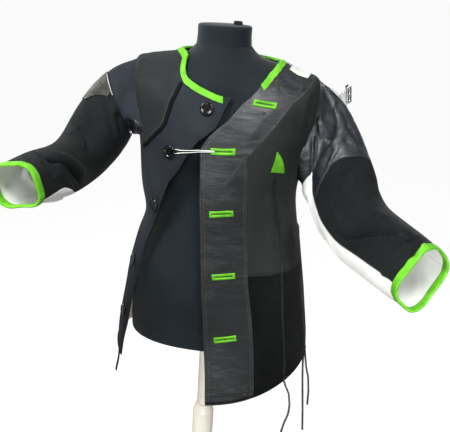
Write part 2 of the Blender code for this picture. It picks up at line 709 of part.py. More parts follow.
def stations_between(side, first, last):
    """The sleeve's stations from the one nearest to an angle to the one nearest to another."""
    every = sleeve_stations(side)
    every = np.concatenate([every[:-1] - 360, every[:-1], every + 360])
    start, end = np.abs(every - first).argmin(), np.abs(every - last).argmin()
    return every[start:end + 1]


def sleeve_panel(name, side, span, places, finish, top=None, bottom=None):
    """A sleeve piece between two angles. Its top and bottom edges may vary with the angle."""
    angles = stations_between(side, *span)
    places = np.asarray(places, float)
    share = ((places - places[0]) / (places[-1] - places[0]))[:, None]
    start = np.full(len(angles), places[0]) if top is None else top(angles)
    end = np.full(len(angles), places[-1]) if bottom is None else bottom(angles)
    along = start + (end - start) * share
    turns = np.repeat(angles[None, :], len(places), axis=0)
    rims = []
    if places[0] == 0:
        mask = np.zeros(turns.shape, bool)
        mask[0] = True
        rims = [(mask, armhole_rim(side, angles))]
    panel(name, sleeve_surface(side), turns, along, finish, rims)


def left_sleeve(leather, canvas, under):
    """Leather upper arm with an underarm gusset, canvas forearm with a back piece, and a pale strip below."""
    strip, rest = (113, 164), (164, 473)
    upper = [0, 0.3, 0.6, 1.0, 1.4, 1.8, 2.3, 2.8, LEATHER_END]
    lower = [LEATHER_END, 4.0, 4.6, 5.2, 6.0, 7.0, 8.0, 8.65, LEFT_CUFF]

    def seam(angles):
        return line_read(LEATHER_SLEEVE_EDGE, angles)

    sleeve_panel("sleeve_left_leather", "left", rest, upper, leather, bottom=seam)
    sleeve_panel("sleeve_left_canvas", "left", (300, rest[1]), lower, canvas, top=seam)
    sleeve_panel("sleeve_left_canvas_back", "left", (rest[0], 300), lower, canvas, top=seam)
    sleeve_panel("sleeve_left_gusset", "left", strip, upper[:5], leather)
    sleeve_panel("sleeve_left_under", "left", strip, upper[4:] + lower[1:], under)


def right_sleeve(cap, gusset, canvas, under):
    """Smooth cap with an underarm gusset, canvas sleeve, and a pale strip under the forearm."""
    armhole = [0, 0.3, 0.6, 1.0, CAP_END]
    forearm = [STRIP_START, 3.7, 4.2, 4.7, 5.2, 5.8, 6.6, 7.5, 8.5, 9.3, RIGHT_CUFF]
    under_arm, strip = (114, 229), (131, 198)
    sleeve_panel("sleeve_right_cap", "right", (229, 474), armhole, cap)
    sleeve_panel("sleeve_right_gusset", "right", under_arm, armhole, gusset)
    sleeve_panel("sleeve_right_upper", "right", (180, 540), UPPER_STATIONS, canvas)
    sleeve_panel("sleeve_right_lower", "right", (strip[1], strip[0] + 360), forearm, canvas)
    sleeve_panel("sleeve_right_under", "right", strip, forearm, under)


def cuff_binding(name, side, end, finish):
    angles = sleeve_stations(side)[:-1]
    edge = np.full(len(angles), end)
    sections = tape_sections(sleeve_surface(side), angles, edge, -1, CUFF_TAPE_WIDTH)
    profile_sweep(name, sections, finish, closed=True)


def turned(name, place, axis, profile, finish, sides=24):
    """Turned solid: profile is (radius, height) pairs from the axis out and back to it."""
    axis = Vector(axis).normalized()
    spin = axis.to_track_quat("Z", "Y")
    points, faces = [], []
    inner = profile[1:-1]
    points.append(spin @ Vector((0, 0, profile[0][1])))
    for radius, height in inner:
        for k in range(sides):
            a = 2 * math.pi * k / sides
            points.append(spin @ Vector((radius * math.cos(a), radius * math.sin(a), height)))
    points.append(spin @ Vector((0, 0, profile[-1][1])))
    last = len(points) - 1
    for k in range(sides):
        m = (k + 1) % sides
        faces.append([0, 1 + k, 1 + m])
        faces.append([last, last - sides + m, last - sides + k])
        for i in range(len(inner) - 1):
            a, b = 1 + i * sides, 1 + (i + 1) * sides
            faces.append([a + k, b + k, b + m, a + m])
    return make_object(name, [Vector(place) + p for p in points], faces, finish)


def buttons(finish):
    """Dished buttons with a raised rim, on short shanks."""
    top = SHANK_HEIGHT + BUTTON_THICK
    profile = [
        (0, 0), (SHANK_RADIUS, 0), (SHANK_RADIUS, SHANK_HEIGHT), (BUTTON_RADIUS * 0.9, SHANK_HEIGHT),
        (BUTTON_RADIUS, SHANK_HEIGHT + BUTTON_THICK * 0.45), (BUTTON_RADIUS * 0.88, top),
        (BUTTON_RADIUS * 0.74, top - 0.3 * MM), (BUTTON_RADIUS * 0.62, top - 1.4 * MM),
        (0, top - 1.5 * MM),
    ]
    for number, ((turn, row), sink) in enumerate(zip(BUTTON_PLACES, BUTTON_SINK), start=1):
        point, normal = body_surface(turn, row)
        place = point + normal * (WALL + SEAM_GAP - sink * MM)
        turned(f"button_{number}", place, normal, profile, finish, sides=18)


def on_body(turn, row, tilt, across, down):
    """Body coordinates of points given by distances from a place, along a tilted pair of axes."""
    point = body_point(turn, row)
    per_turn = body_point(turn + 0.1, row) - point
    per_row = body_point(turn, row + 0.01) - point
    angle = math.radians(tilt)
    sideways = across * math.cos(angle) - down * math.sin(angle)
    downwards = across * math.sin(angle) + down * math.cos(angle)
    along = unit(per_turn)
    skew = per_row - along * (per_row @ along)
    row_step = downwards / np.linalg.norm(skew) * 0.01
    slip = row_step / 0.01 * (per_row @ along)
    turn_step = (sideways - slip) / np.linalg.norm(per_turn) * 0.1
    return turn + turn_step, row + row_step


def buttonhole_welts(finish):
    """Buttonholes with two lips: a raised frame round a slot."""
    outline = [(-1, -1), (-0.5, -1), (0, -1), (0.5, -1), (1, -1), (1, 1), (0.5, 1), (0, 1), (-0.5, 1), (-1, 1)]
    shape = np.array(outline, float)
    outer = shape * [WELT_LENGTH / 2, WELT_WIDTH / 2]
    slot = shape * [SLOT_LENGTH / 2, SLOT_WIDTH / 2]
    for number, (turn, row, tilt) in enumerate(HOLE_PLACES, start=1):
        rings = []
        for plan, lift in ((outer, 0), (outer * 0.97, WELT_THICK), (slot, WELT_THICK), (slot, 0)):
            turns, rows = on_body(turn, row, tilt, plan[:, 0], plan[:, 1])
            points, normals = body_surface(turns, rows)
            rings.append(points + normals * (WALL + LAID_GAP + lift))
        profile_sweep(f"buttonhole_{number}", np.stack(rings, axis=1), finish, closed=True)


def dart_triangle(finish):
    """Coloured insert at the head of the front dart, point up."""
    turns = np.array([[39.2, 39.7], [38.6, 43.6], [38.0, 49.0]])
    turns = np.stack([turns[:, 0], turns.mean(axis=1), turns[:, 1]], axis=1)
    rows = np.array([[6.62, 6.62, 6.62], [6.92, 6.93, 6.96], [7.2, 7.24, 7.3]])
    laid_piece("dart_triangle", body_surface, turns, rows, 1.4 * MM, finish, gap=0.9 * MM)


def shoulder_label(finish):
    """Bare label sewn over the left shoulder seam."""
    turns, rows = np.meshgrid([80, 85, 90, 95, 100], np.linspace(3.9, 4.5, 5))
    laid_piece("shoulder_label", body_surface, turns, rows, 1.0 * MM, finish)


def sleeve_patch(finish):
    """Shiny patch on the outside of the right sleeve, just below the cap. It narrows towards the arm."""
    angles = stations_between("right", -60, 60)
    bottom = np.minimum(3.1, 1.75 + (69 - angles) / 45)
    along = np.minimum(np.array([CAP_END + 0.08] + UPPER_STATIONS[1:-1] + [3.1])[:, None], bottom)
    turns = np.repeat(angles[None, :], len(along), axis=0)
    surface = sleeve_surface("right")
    ends = np.array(UPPER_STATIONS)
    first = np.clip(np.searchsorted(ends, along, side="right") - 1, 0, len(ends) - 2)
    share = ((along - ends[first]) / (ends[first + 1] - ends[first]))[..., None]
    above, below = surface(turns, ends[first]), surface(turns, ends[first + 1])

    def on_facets(_turns, _along):
        """Points on the sleeve panel's own straight edges, so that the patch follows its facets."""
        return tuple(a * (1 - share) + b * share for a, b in zip(above, below))

    laid_piece("sleeve_right_patch", on_facets, turns, along, 1.2 * MM, finish, gap=1.1 * MM)


def sling_slide(webbing, tab, steel):
    """Sling keeper on the outside of the left arm: a sewn tab, black webbing and a three-bar slide."""
    centre = np.array([0.277, -0.002, 1.350])
    down, out = unit(np.array([0.12, 0, -1.0])), unit(np.array([0.95, -0.3, 0.114]))
    across = unit(np.cross(out, down))
    out = np.cross(down, across)
    rows = np.array([-18, -14, -2, 2, 14, 18])[:, None, None] * MM
    columns = np.array([-16, -12, 12, 16])[None, :, None] * MM
    points = centre + down * rows + across * columns
    normals = np.broadcast_to(out, points.shape)
    keep = np.ones((5, 3), bool)
    keep[[1, 3], 1] = False
    sheet_solid("sling_slide", points, normals, normals * 3 * MM, steel, keep, gap=0)

    lengths = np.array([-20, -7, 7, 16])
    back = np.array([3.2, 1.4, 1.4, 1.4]) * MM
    line = centre + down * lengths[:, None] * MM - out * back[:, None]
    ribbon("sling_webbing", line, np.tile(across * 11.5 * MM, (4, 1)), out, 1.4 * MM, webbing)

    surface = sleeve_surface("left")
    sewn, sewn_out = surface(np.full(3, -3.0), np.array([0.42, 0.55, 0.66]))
    ahead, _ = surface(np.full(3, 0.0), np.array([0.42, 0.55, 0.66]))
    sewn = sewn + sewn_out * (WALL + LAID_GAP + 0.7 * MM)
    round_it = unit(ahead - (sewn - sewn_out * (WALL + LAID_GAP + 0.7 * MM)))
    end = centre - out * 3.6 * MM
    free = np.array([end - out * 9 * MM + [0, 0, 2 * MM], end - out * 3 * MM - down * 1 * MM, end + down * 7 * MM])
    free_out = unit(np.array([[0.3, 0, 0.95], [0.6, -0.2, 0.7], out]))
    side = -across if across @ round_it[0] < 0 else across
    line = np.concatenate([sewn, free])
    ways = np.concatenate([round_it, np.tile(side, (3, 1))]) * 10 * MM
    ribbon("sling_tab", line, ways, np.concatenate([sewn_out, free_out]), 1.4 * MM, tab)


def even_points(route, spacing):
    """Points at even steps along a route, its corners rounded off."""
    route = np.array(route, float)
    way = np.concatenate([[0], np.cumsum(np.linalg.norm(np.diff(route, axis=0), axis=1))])
    places = np.linspace(0, way[-1], max(4, round(way[-1] / spacing)) + 1)
    points = np.stack([np.interp(places, way, route[:, k]) for k in range(3)], axis=1)
    points[1:-1] = points[:-2] / 4 + points[1:-1] / 2 + points[2:] / 4
    return points


def tube(name, points, radius, finish):
    curve = bpy.data.curves.new(name, "CURVE")
    curve.dimensions = "3D"
    curve.bevel_depth = radius
    curve.bevel_resolution = 2
    curve.use_fill_caps = True
    curve.materials.append(finish)
    line = curve.splines.new("POLY")
    line.points.add(len(points) - 1)
    for spot, place in zip(line.points, points):
        spot.co = (*map(float, place), 1.0)
    made = bpy.data.objects.new(name, curve)
    bpy.context.scene.collection.objects.link(made)
    return made


LACE_RADIUS = 2 * MM
LOOP_RADIUS = 0.8 * MM
# Routes of the laces below the hem: the turn and the drop at which each starts, and its steps from there
LACE_ROUTES = {
    "lace_1": (51.5, 0.8, [(0, 0, 0), (5, 0, -14), (14, 0, -32), (19, 1, -64), (18, 1, -90), (10, 0, -118), (5, 1, -146)]),
    "lace_2": (78.0, 1.0, [(0, 0, 0), (1, 0, -20), (4, 1, -60), (9, 2, -110), (14, 2, -160), (19, 2, -218)]),
    "lace_3": (86.0, 1.0, [(0, 0, 0), (4, -1, -24), (9, -2, -52), (16, -3, -76), (21, -2, -118), (22, 0, -160)]),
}


def laces(finish):
    """Free ends of the side lacing, hanging from the hem of the left side."""
    for name, (turn, drop, steps) in LACE_ROUTES.items():
        point, normal = body_surface(turn, HEM_ROW)
        start = point + normal * WALL / 2 - np.array([0, 0, drop * MM])
        route = start + np.array(steps, float) * MM
        tube(name, even_points(route, 2.5 * 2 * LACE_RADIUS), LACE_RADIUS, finish)


def ribbon(name, centre, across, outward, thick, finish):
    """Flat strap: a row of rectangles, each half a width each way of the centre line."""
    half = outward * thick / 2
    sections = np.stack(
        [centre - across - half, centre + across - half, centre + across + half, centre - across + half],
        axis=1,
    )
    return profile_sweep(name, sections, finish)


def hem_strap(finish):
    """Short strap end that hangs from the hem of the right front, as wide as its slanting top edge."""
    (before, _), (point, normal), (after, _) = (
        body_surface(turn, HEM_ROW) for turn in (-65.0, -64.0, -63.0)
    )
    drops = np.array([(0, 0, 0), (-1, 0, -15), (-3, 0, -32), (-6, -1, -48), (-8, -1, -60)]) * MM
    centre = point + normal * WALL / 2 - np.array([0, 0, 0.5 * MM]) + drops
    slant = unit(after - before)
    level = unit(np.cross([0, 0, 1.0], normal))
    across = np.array([slant, level, level, level, level]) * 5 * MM
    across = across * np.sign((across @ slant))[:, None]
    ribbon("hem_strap_right", centre, across, normal, 2 * MM, finish)


def lace_fitting(finish):
    """Small dark cord grip on the princess seam, just above the hem."""
    point, normal = body_surface(51.2, 14.72)
    profile = [(0, 0), (6 * MM, 0), (6.5 * MM, 2 * MM), (5 * MM, 5 * MM), (0, 5.5 * MM)]
    turned("lace_fitting", point + normal * (WALL + SEAM_GAP), normal, profile, finish, sides=16)


def button_loop(finish):
    """Thin elastic loop from the second buttonhole, round the shank of the second button and back."""
    hole_turn, hole_row, _ = HOLE_PLACES[1]
    button_turn, button_row = BUTTON_PLACES[1]
    button, out = body_surface(button_turn, button_row)
    shank = button + out * (WALL + SEAM_GAP + SHANK_HEIGHT / 2)
    strands = []
    for apart in (-0.038, 0.038):
        on_welt, on_row = on_body(
            hole_turn, hole_row, 0, np.array([-0.34, -0.46, -0.54]) * WELT_LENGTH, np.zeros(3)
        )
        turns = np.concatenate([on_welt, [-7.5, -11.5, -15.5, -19.5]])
        slope = (button_row - 6.45) / (button_turn + 4)
        rows = np.concatenate([on_row, 6.45 + slope * (turns[3:] + 4)])
        rows = rows + apart * np.array([0.3, 0.5, 0.6, 0.8, 0.9, 1.0, 1.1])
        lift = np.array([4.2, 4.4, 3.6, 3.0, 2.6, 2.4, 2.2]) * MM + WALL
        points, normals = body_surface(turns, rows)
        strands.append(points + normals * lift[:, None])
    to_button = unit(shank - strands[0][-1])
    up = unit(np.cross(out, to_button))
    up = up if up[2] > 0 else -up
    ahead = unit(np.cross(up, out))
    ahead = ahead if ahead @ to_button > 0 else -ahead
    bend = SHANK_RADIUS + LOOP_RADIUS + 1.5 * MM
    around = [
        shank + up * bend * math.sin(math.radians(a)) + ahead * bend * math.cos(math.radians(a))
        for a in range(105, -106, -15)
    ]
    route = [*strands[0], *around, *strands[1][::-1]]
    tube("button_loop", even_points(route, 3.4 * MM), LOOP_RADIUS, finish)


def dress_form(jersey):
    """Padded body without limbs, its neck above the neck seam, and the knob on the neck's cap."""
    columns = 32
    turns = np.arange(columns) * 360 / columns
    rings = np.concatenate([np.arange(0, 6, 0.5), np.arange(6, FORM_LAST + 1, 1.0)])
    grid_turns, grid_rings = np.meshgrid(turns, rings)
    sections = form_point(grid_turns, grid_rings)
    profile_sweep("form_body", sections, jersey)

    seam = form_point(turns, 0)
    foot = seam + [0, 0, SEAM_GAP]
    waist = foot * [0.975, 0.975, 0] + [0, 0, 1457 * MM]
    shoulder = waist * [1, 1, 0] + [0, 0, NECK_TOP - 4 * MM]
    top = waist * [0.93, 0.93, 0] + [0, 0, NECK_TOP]
    profile_sweep("form_neck", np.stack([foot, waist, shoulder, top]), jersey)

    place = (26 * MM, 12 * MM, NECK_TOP + SEAM_GAP)
    profile = [(0, 0), (KNOB_RADIUS, 0), (KNOB_RADIUS, KNOB_HEIGHT - 2 * MM),
               (KNOB_RADIUS - 2 * MM, KNOB_HEIGHT), (0, KNOB_HEIGHT)]
    turned("form_knob", place, (0, 0, 1), profile, jersey, sides=16)


def stand(cream):
    """Pole under the form, thicker tube with a collar, and a round base."""
    form_bottom = FORM_RINGS[-1][1] * MM
    profile = [(0, COLLAR_TOP + SEAM_GAP), (POLE_RADIUS, COLLAR_TOP + SEAM_GAP),
               (POLE_RADIUS, form_bottom - SEAM_GAP), (0, form_bottom - SEAM_GAP)]
    turned("pole_upper", (0, 0, 0), (0, 0, 1), profile, cream, sides=24)
    foot = BOSS_TOP + SEAM_GAP
    profile = [(0, foot), (TUBE_RADIUS, foot), (TUBE_RADIUS, COLLAR_FOOT),
               (POLE_RADIUS + 3 * MM, COLLAR_TOP), (0, COLLAR_TOP)]
    turned("pole_lower", (0, 0, 0), (0, 0, 1), profile, cream, sides=24)
    profile = [(0, 0), (BASE_RADIUS - 2 * MM, 0), (BASE_RADIUS, 2 * MM), (BASE_RADIUS, BASE_THICK - 4 * MM),
               (BASE_RADIUS - 6 * MM, BASE_THICK), (BOSS_RADIUS + 6 * MM, BASE_THICK + 1 * MM),
               (BOSS_RADIUS, BOSS_TOP), (0, BOSS_TOP)]
    turned("base", (0, 0, 0), (0, 0, 1), profile, cream, sides=32)


def main():
    for old in list(bpy.data.objects):
        bpy.data.objects.remove(old, do_unlink=True)
    leather = material("black grained leather", "23262A", 0.32)
    canvas = material("olive charcoal canvas", "2B2D2B", 0.85)
    skirt = material("black suede", "17181A", 0.9)
    navy = material("navy grey canvas", "2A2E35", 0.8)
    bright = material("bright green tape", "6FE01C", 0.55)
    pale = material("white canvas", "D9DAD4", 0.85)
    plastic = material("black glossy plastic", "0B0B0C", 0.2)
    steel = material("nickel-plated steel", "C9CBCC", 0.3, metallic=1.0)
    webbing = material("grey webbing", "B9BBBA", 0.8)
    lace = material("black cord", "1D1E20", 0.8)
    elastic = material("pale elastic", "D5D6D2", 0.6)
    jersey = material("dark blue-grey jersey", "2E343D", 0.9)
    cream = material("cream lacquered steel", "E6DFC9", 0.4)

    dress_form(jersey)
    stand(cream)
    back_panels(canvas)
    left_front_panels(leather, canvas, skirt)
    right_front_panels(canvas, navy)
    rolled_edge_welt(skirt)
    neck_binding(bright)
    left_sleeve(leather, canvas, pale)
    right_sleeve(navy, leather, skirt, pale)
    sleeve_patch(leather)
    cuff_binding("cuff_binding_left", "left", LEFT_CUFF, bright)
    cuff_binding("cuff_binding_right", "right", RIGHT_CUFF, bright)
    buttons(plastic)
    buttonhole_welts(bright)
    dart_triangle(bright)
    shoulder_label(pale)
    sling_slide(lace, webbing, steel)
    laces(lace)
    lace_fitting(plastic)
    hem_strap(lace)
    button_loop(elastic)


main()
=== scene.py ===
"""Shooting jacket worn on a dress form: cloth, sewing, finishes, camera and light.

Every cloth piece is a grid on one of three surfaces, read at fine steps: the body of the jacket (turn,
row), a sleeve (angle, place along) and the dress form (turn, ring). Lengths are metres, tables millimetres.
"""

import math

import bpy
import numpy as np
from mathutils import Matrix, Vector


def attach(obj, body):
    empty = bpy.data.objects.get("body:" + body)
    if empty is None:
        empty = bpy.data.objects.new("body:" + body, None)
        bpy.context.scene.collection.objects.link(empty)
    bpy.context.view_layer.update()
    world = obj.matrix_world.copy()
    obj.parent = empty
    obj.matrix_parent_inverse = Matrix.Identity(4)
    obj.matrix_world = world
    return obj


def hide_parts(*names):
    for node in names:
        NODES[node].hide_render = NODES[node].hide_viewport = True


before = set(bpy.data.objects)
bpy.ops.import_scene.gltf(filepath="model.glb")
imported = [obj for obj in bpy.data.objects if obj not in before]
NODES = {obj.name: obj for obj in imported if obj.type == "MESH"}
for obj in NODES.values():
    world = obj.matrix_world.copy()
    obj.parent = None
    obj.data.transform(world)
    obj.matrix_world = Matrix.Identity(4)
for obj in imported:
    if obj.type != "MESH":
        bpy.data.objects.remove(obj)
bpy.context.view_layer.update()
CUTS = {}

MM = 0.001
# Fine steps in each coarse step of the solids' grids, and along a sleeve
FINER = 4
SLEEVE_FINER = 10
# How far the rim of a panel or of a laid piece sinks at its seams, in millimetres
EDGE_SINK = 0.5
LAID_SINK = 0.3
SHARP_ANGLE = math.radians(50)
# Rows closer than this are one row, and points closer than this one point
CLOSE = 1e-6
ONE_PLACE = 0.01 * MM

# A piece that fills less than this share of its grid's width times its length lies slanting in it
SLANTING_SHARE = 0.32

# Cloth and seams
WALL = 2.4 * MM
SEAM_GAP = 0.3 * MM
LAID_GAP = 0.6 * MM
TAPE = 1.3 * MM
NECK_TAPE_WIDTH = 15 * MM
CUFF_TAPE_WIDTH = 13 * MM
TAPE_TURN_IN = 9 * MM
INSIDE_EASE = 0.2 * MM
# The scene's tapes are padded, so they reach less far over the cloth than the flat ones of the solids
NECK_TAPE_REACH = 0.9 * NECK_TAPE_WIDTH
CUFF_TAPE_REACH = 0.72 * CUFF_TAPE_WIDTH
# Least cosine of half the angle at a mitred seam
MITRE_LIMIT = 0.74
# Soft roll at the edge of the right chest piece
ROLL_HEIGHT = 4 * MM
ROLL_HALF_WIDTH = 4.5 * MM

# Buttons and buttonholes
BUTTON_RADIUS = 14 * MM
BUTTON_THICK = 3.6 * MM
SHANK_RADIUS = 4 * MM
SHANK_HEIGHT = 2.8 * MM
WELT_LENGTH = 51 * MM
WELT_WIDTH = 14 * MM

# Stand
NECK_TOP = 1478 * MM
NECK_WAIST = 1457 * MM
KNOB_PLACE = (26 * MM, 12 * MM)
KNOB_RADIUS = 10 * MM
KNOB_HEIGHT = 8 * MM
POLE_RADIUS = 18 * MM
TUBE_RADIUS = 27 * MM
COLLAR_TOP = 522 * MM
COLLAR_FOOT = 500 * MM
BASE_RADIUS = 190 * MM
BASE_THICK = 12 * MM
BOSS_RADIUS = 44 * MM
BOSS_TOP = 24 * MM

# Rings of the dress form from the neck seam down: half sizes and heights at the front, left, back and
# right of each ring, and how square its corners are.
RING_COLUMNS = (
    "front", "front_z", "left", "left_z", "back", "back_z", "right", "right_z", "square",
)
FORM_RINGS = [
    (60, 1437, 60, 1437, 56, 1437, 60, 1437, 0.00),
    (70, 1408, 76, 1420, 64, 1428, 76, 1420, 0.00),
    (84, 1380, 104, 1408, 76, 1410, 104, 1408, 0.01),
    (98, 1350, 137, 1402, 90, 1385, 137, 1402, 0.02),
    (108, 1320, 167, 1390, 100, 1350, 167, 1390, 0.03),
    (114, 1290, 184, 1358, 105, 1315, 184, 1358, 0.04),
    (117, 1255, 183, 1300, 106, 1275, 183, 1300, 0.05),
    (114, 1200, 166, 1220, 100, 1200, 166, 1220, 0.05),
    (107, 1130, 148, 1130, 92, 1130, 148, 1130, 0.05),
    (105, 1060, 140, 1060, 88, 1060, 140, 1060, 0.05),
    (112, 1000, 150, 1000, 94, 1000, 150, 1000, 0.05),
    (125, 930, 172, 930, 107, 930, 172, 930, 0.05),
    (135, 860, 186, 860, 118, 860, 186, 860, 0.05),
    (138, 790, 191, 790, 124, 790, 191, 790, 0.05),
    (137, 755, 190, 755, 122, 755, 190, 755, 0.05),
]

# The inside of the jacket on the same rings, down to its hem (ring 15)
JACKET_RINGS = [
    (62, 1427, 62, 1437, 58, 1443, 62, 1437, 0.00),
    (73, 1410, 79, 1424, 67, 1432, 80, 1426, 0.00),
    (88, 1385, 106, 1411.5, 79, 1413.5, 107, 1414, 0.01),
    (103, 1353, 138, 1405.2, 94, 1388, 138, 1409, 0.02),
    (116, 1322, 167.5, 1390.9, 106, 1354, 166, 1404, 0.03),
    (127, 1290, 211, 1374, 113, 1318, 189, 1392, 0.04),
    (136, 1255, 212, 1308, 117, 1275, 188, 1325, 0.05),
    (144, 1200, 200, 1225, 117, 1200, 176, 1235, 0.05),
    (146, 1130, 184, 1130, 112, 1130, 169, 1130, 0.05),
    (147, 1060, 190, 1060, 112, 1060, 157, 1060, 0.05),
    (150, 1000, 203, 1000, 118, 1000, 175, 1000, 0.05),
    (156, 930, 215, 930, 130, 930, 192, 930, 0.05),
    (160, 860, 227, 860, 140, 860, 204, 860, 0.05),
    (165, 790, 236, 795, 147, 795, 214, 795, 0.05),
    (168, 713, 241, 760, 150, 755, 219, 757, 0.05),
    (170, 632, 244, 722, 155, 700, 222, 715, 0.05),
]
FORM_LAST = len(FORM_RINGS) - 1
HEM_ROW = float(len(JACKET_RINGS) - 1)

# The neckline, as (turn, ring): the ring that its edge lies on, at each turn
NECKLINE = [
    (-180, 1.80), (-135, 1.55), (-90, 1.30), (-60, 1.25), (-50, 1.40), (-41, 2.00), (-35, 2.42),
    (-28, 2.78), (-18, 2.95), (-8, 3.10), (6, 3.44), (20, 3.50), (38, 3.25), (52, 2.85), (70, 2.62),
    (90, 2.55), (110, 2.45), (135, 2.15), (180, 1.80),
]

# Rows of the body's grids. Row 3.5 is the neckline, and from 4.5 on a row is the ring of that number.
NECK_ROW = 3.5
YOKE_ROW = 4.5
COLLAR_ROWS = [3.5, 3.58, 3.66, 3.75, 4.0, 4.25, 4.5]
WAIST_ROWS = [8.0, 8.5, 9.0, 9.5, 10.0, 10.6, 11.3, 12.0, 12.75, 13.5, 14.25, 15.0]
ROWS = {
    "left": COLLAR_ROWS + [
        4.7, 4.8, 4.9, 5.0, 5.06, 5.24, 5.5, 5.85, 6.2, 6.45, 6.7, 6.95, 7.25, 7.45, 7.55, 7.65, 7.7,
    ] + WAIST_ROWS,
    "right": COLLAR_ROWS + [
        4.75, 5.0, 5.06, 5.24, 5.5, 5.85, 6.2, 6.45, 6.7, 6.88, 7.0, 7.05, 7.25, 7.45, 7.7,
    ] + WAIST_ROWS,
    "back": COLLAR_ROWS + [
        4.75, 5.0, 5.06, 5.24, 5.5, 5.85, 6.2, 6.7, 6.88, 7.05, 7.45, 7.65, 7.7,
    ] + WAIST_ROWS,
}
SHOULDER_TIP_ROW = 5.0
LEFT_UNDERARM_ROW = 7.7
RIGHT_UNDERARM_ROW = 7.05
YOKE_FOOT_ROW = 7.45
WAIST_SEAM_ROW = 10.6
DART_ROW = 7.25
BAND_COLUMNS = 6 * FINER
CHEST_COLUMNS = 3 * FINER
SIDE_COLUMNS = 4 * FINER
YOKE_COLUMNS = 6 * FINER
FRONT_SHARES = np.interp(np.arange(5 * FINER + 1) / FINER, range(6), [0, 0.22, 0.44, 0.65, 0.85, 1.0])
BACK_COLUMNS = 16 * FINER
CHEST_TOP_ROW = 4.5
ROLL_TOP_ROW = 3.82
CROSS_SEAM_TOP_ROW = 6.7

# Seam lines on the body: the turn of each seam at a row
LEFT_FRONT_EDGE = [
    (3.5, 38), (4.0, 20), (4.5, 13), (5.25, 4.5), (6.3, -5.5), (6.55, -6.5), (7.7, -5.7), (8.3, -5.5),
    (10.0, -2.5), (11.3, 0), (12.1, 1.5), (14.0, 4.5), (15.0, 5.5),
]
LEATHER_SEAM = [
    (4.5, 90), (4.7, 84), (4.8, 70), (4.9, 56), (5.0, 47), (5.24, 41.5), (5.5, 38), (6.05, 31), (6.63, 23),
    (6.7, 22), (7.25, 24), (7.93, 26.5), (8.5, 27), (10.8, 27), (12.3, 29.5), (15.0, 32),
]
CROSS_SEAM = [(6.7, 20.6), (7.05, 16.8), (7.25, 14.6), (7.45, 11.8), (7.55, 10.5), (7.7, -5.7)]
PRINCESS_SEAM = [
    (7.25, 41.5), (7.7, 44), (8.5, 48.5), (9.2, 51.5), (10.05, 51.5), (10.6, 50), (12.3, 49),
    (13.9, 50.5), (15.0, 51),
]
RIGHT_FRONT_EDGE = [
    (3.5, 13), (4.3, 7), (4.9, 4), (5.45, 1.5), (5.83, -3), (6.1, -7.5), (6.73, -15), (7.33, -22),
    (7.65, -28.5), (8.05, -33), (8.38, -37.5), (8.97, -45), (9.32, -47.5), (10.0, -49), (11.15, -49.5),
    (11.7, -51.5), (13.0, -52.5), (14.1, -56), (15.0, -58),
]
ROLLED_EDGE = [
    (3.5, -30.5), (4.3, -28.5), (5.1, -28), (5.8, -30), (6.15, -33), (6.55, -40.5), (6.88, -49),
    (7.05, -56), (7.25, -76), (7.45, -92),
]
RIGHT_SIDE_SEAM = [(7.05, -90), (7.45, -92), (9.0, -100), (11.0, -108), (15.0, -112)]

# Sleeves: ellipses on the way from the armhole to the cuff. x is away from the wearer's middle. The
# heading is 0 straight out to the side and 90 straight to the front, lean tips the top along it, and
# twist turns the cloth round the arm.
SLEEVE_COLUMNS = ("x", "y", "z", "high", "deep", "heading", "lean", "twist")
LEFT_SLEEVE = [
    (198, 0, 1262, 112, 58, 0, 6, 0),
    (239, -6, 1234, 97, 66, 8, 21, 0),
    (261, -25, 1202, 88, 71, 25, 29, -3),
    (277, -50, 1168, 84, 73, 38, 36, -6),
    (293, -82, 1137, 82, 72, 46, 33, -9),
    (306, -116, 1116, 77, 70, 50, 24, -12),
    (332, -172, 1096, 71, 67, 52, 12, -16),
    (370, -254, 1094, 66, 64, 52, 6, -20),
    (406, -328, 1092, 62, 63, 50, 5, -24),
    (424, -362, 1089, 60, 63, 46, 6, -26),
]
RIGHT_SLEEVE = [
    (184, 0, 1312, 82, 60, 0, 3, 0),
    (214, -2, 1303, 74, 62, 5, 12, 0),
    (236, -12, 1280, 71, 63, 14, 28, 0),
    (256, -32, 1251, 70, 63, 30, 38, 0),
    (273, -64, 1218, 67, 61, 50, 38, 0),
    (287, -108, 1190, 58, 57, 70, 24, 0),
    (297, -154, 1179, 55, 54, 80, 6, 0),
    (303, -212, 1180, 53, 52, 86, 0, 0),
    (311, -282, 1189, 50, 49, 88, 4, 0),
    (319, -342, 1192, 48, 45, 90, 11, 0),
    (323, -370, 1193, 47, 42, 91, 15, 0),
]
# Places along a sleeve: where the armhole's shape has faded out, where its first normals are read, and
# where the seam's mitre is
ARMHOLE_FADE = 1.6
FIRST_NORMALS = 0.006
MITRE_PLACE = 0.12
LEATHER_END = 3.5
# Lower edge of the left sleeve's leather: angle (past 360 on the front), place along
LEATHER_SLEEVE_EDGE = [
    (168, 3.5), (250, 3.35), (345, 3.2), (385, 2.9), (408, 2.6), (423, 2.53), (438, 2.72), (455, 3.1),
    (469, 3.5),
]
CAP_END = 1.55
STRIP_START = 3.2
UPPER_STATIONS = [CAP_END, 1.83, 2.1, 2.37, 2.65, 2.93, STRIP_START]
PATCH_END = 3.1
LEFT_CUFF = float(len(LEFT_SLEEVE) - 1)
RIGHT_CUFF = float(len(RIGHT_SLEEVE) - 1)
CUFF_ROW = {"left": LEFT_CUFF, "right": RIGHT_CUFF}
# The pale strips under the sleeves, from angle to angle, and the seam at the back of the left canvas
LEFT_STRIP = (113, 164)
RIGHT_STRIP = (131, 198)
LEFT_BACK_SEAM = 300

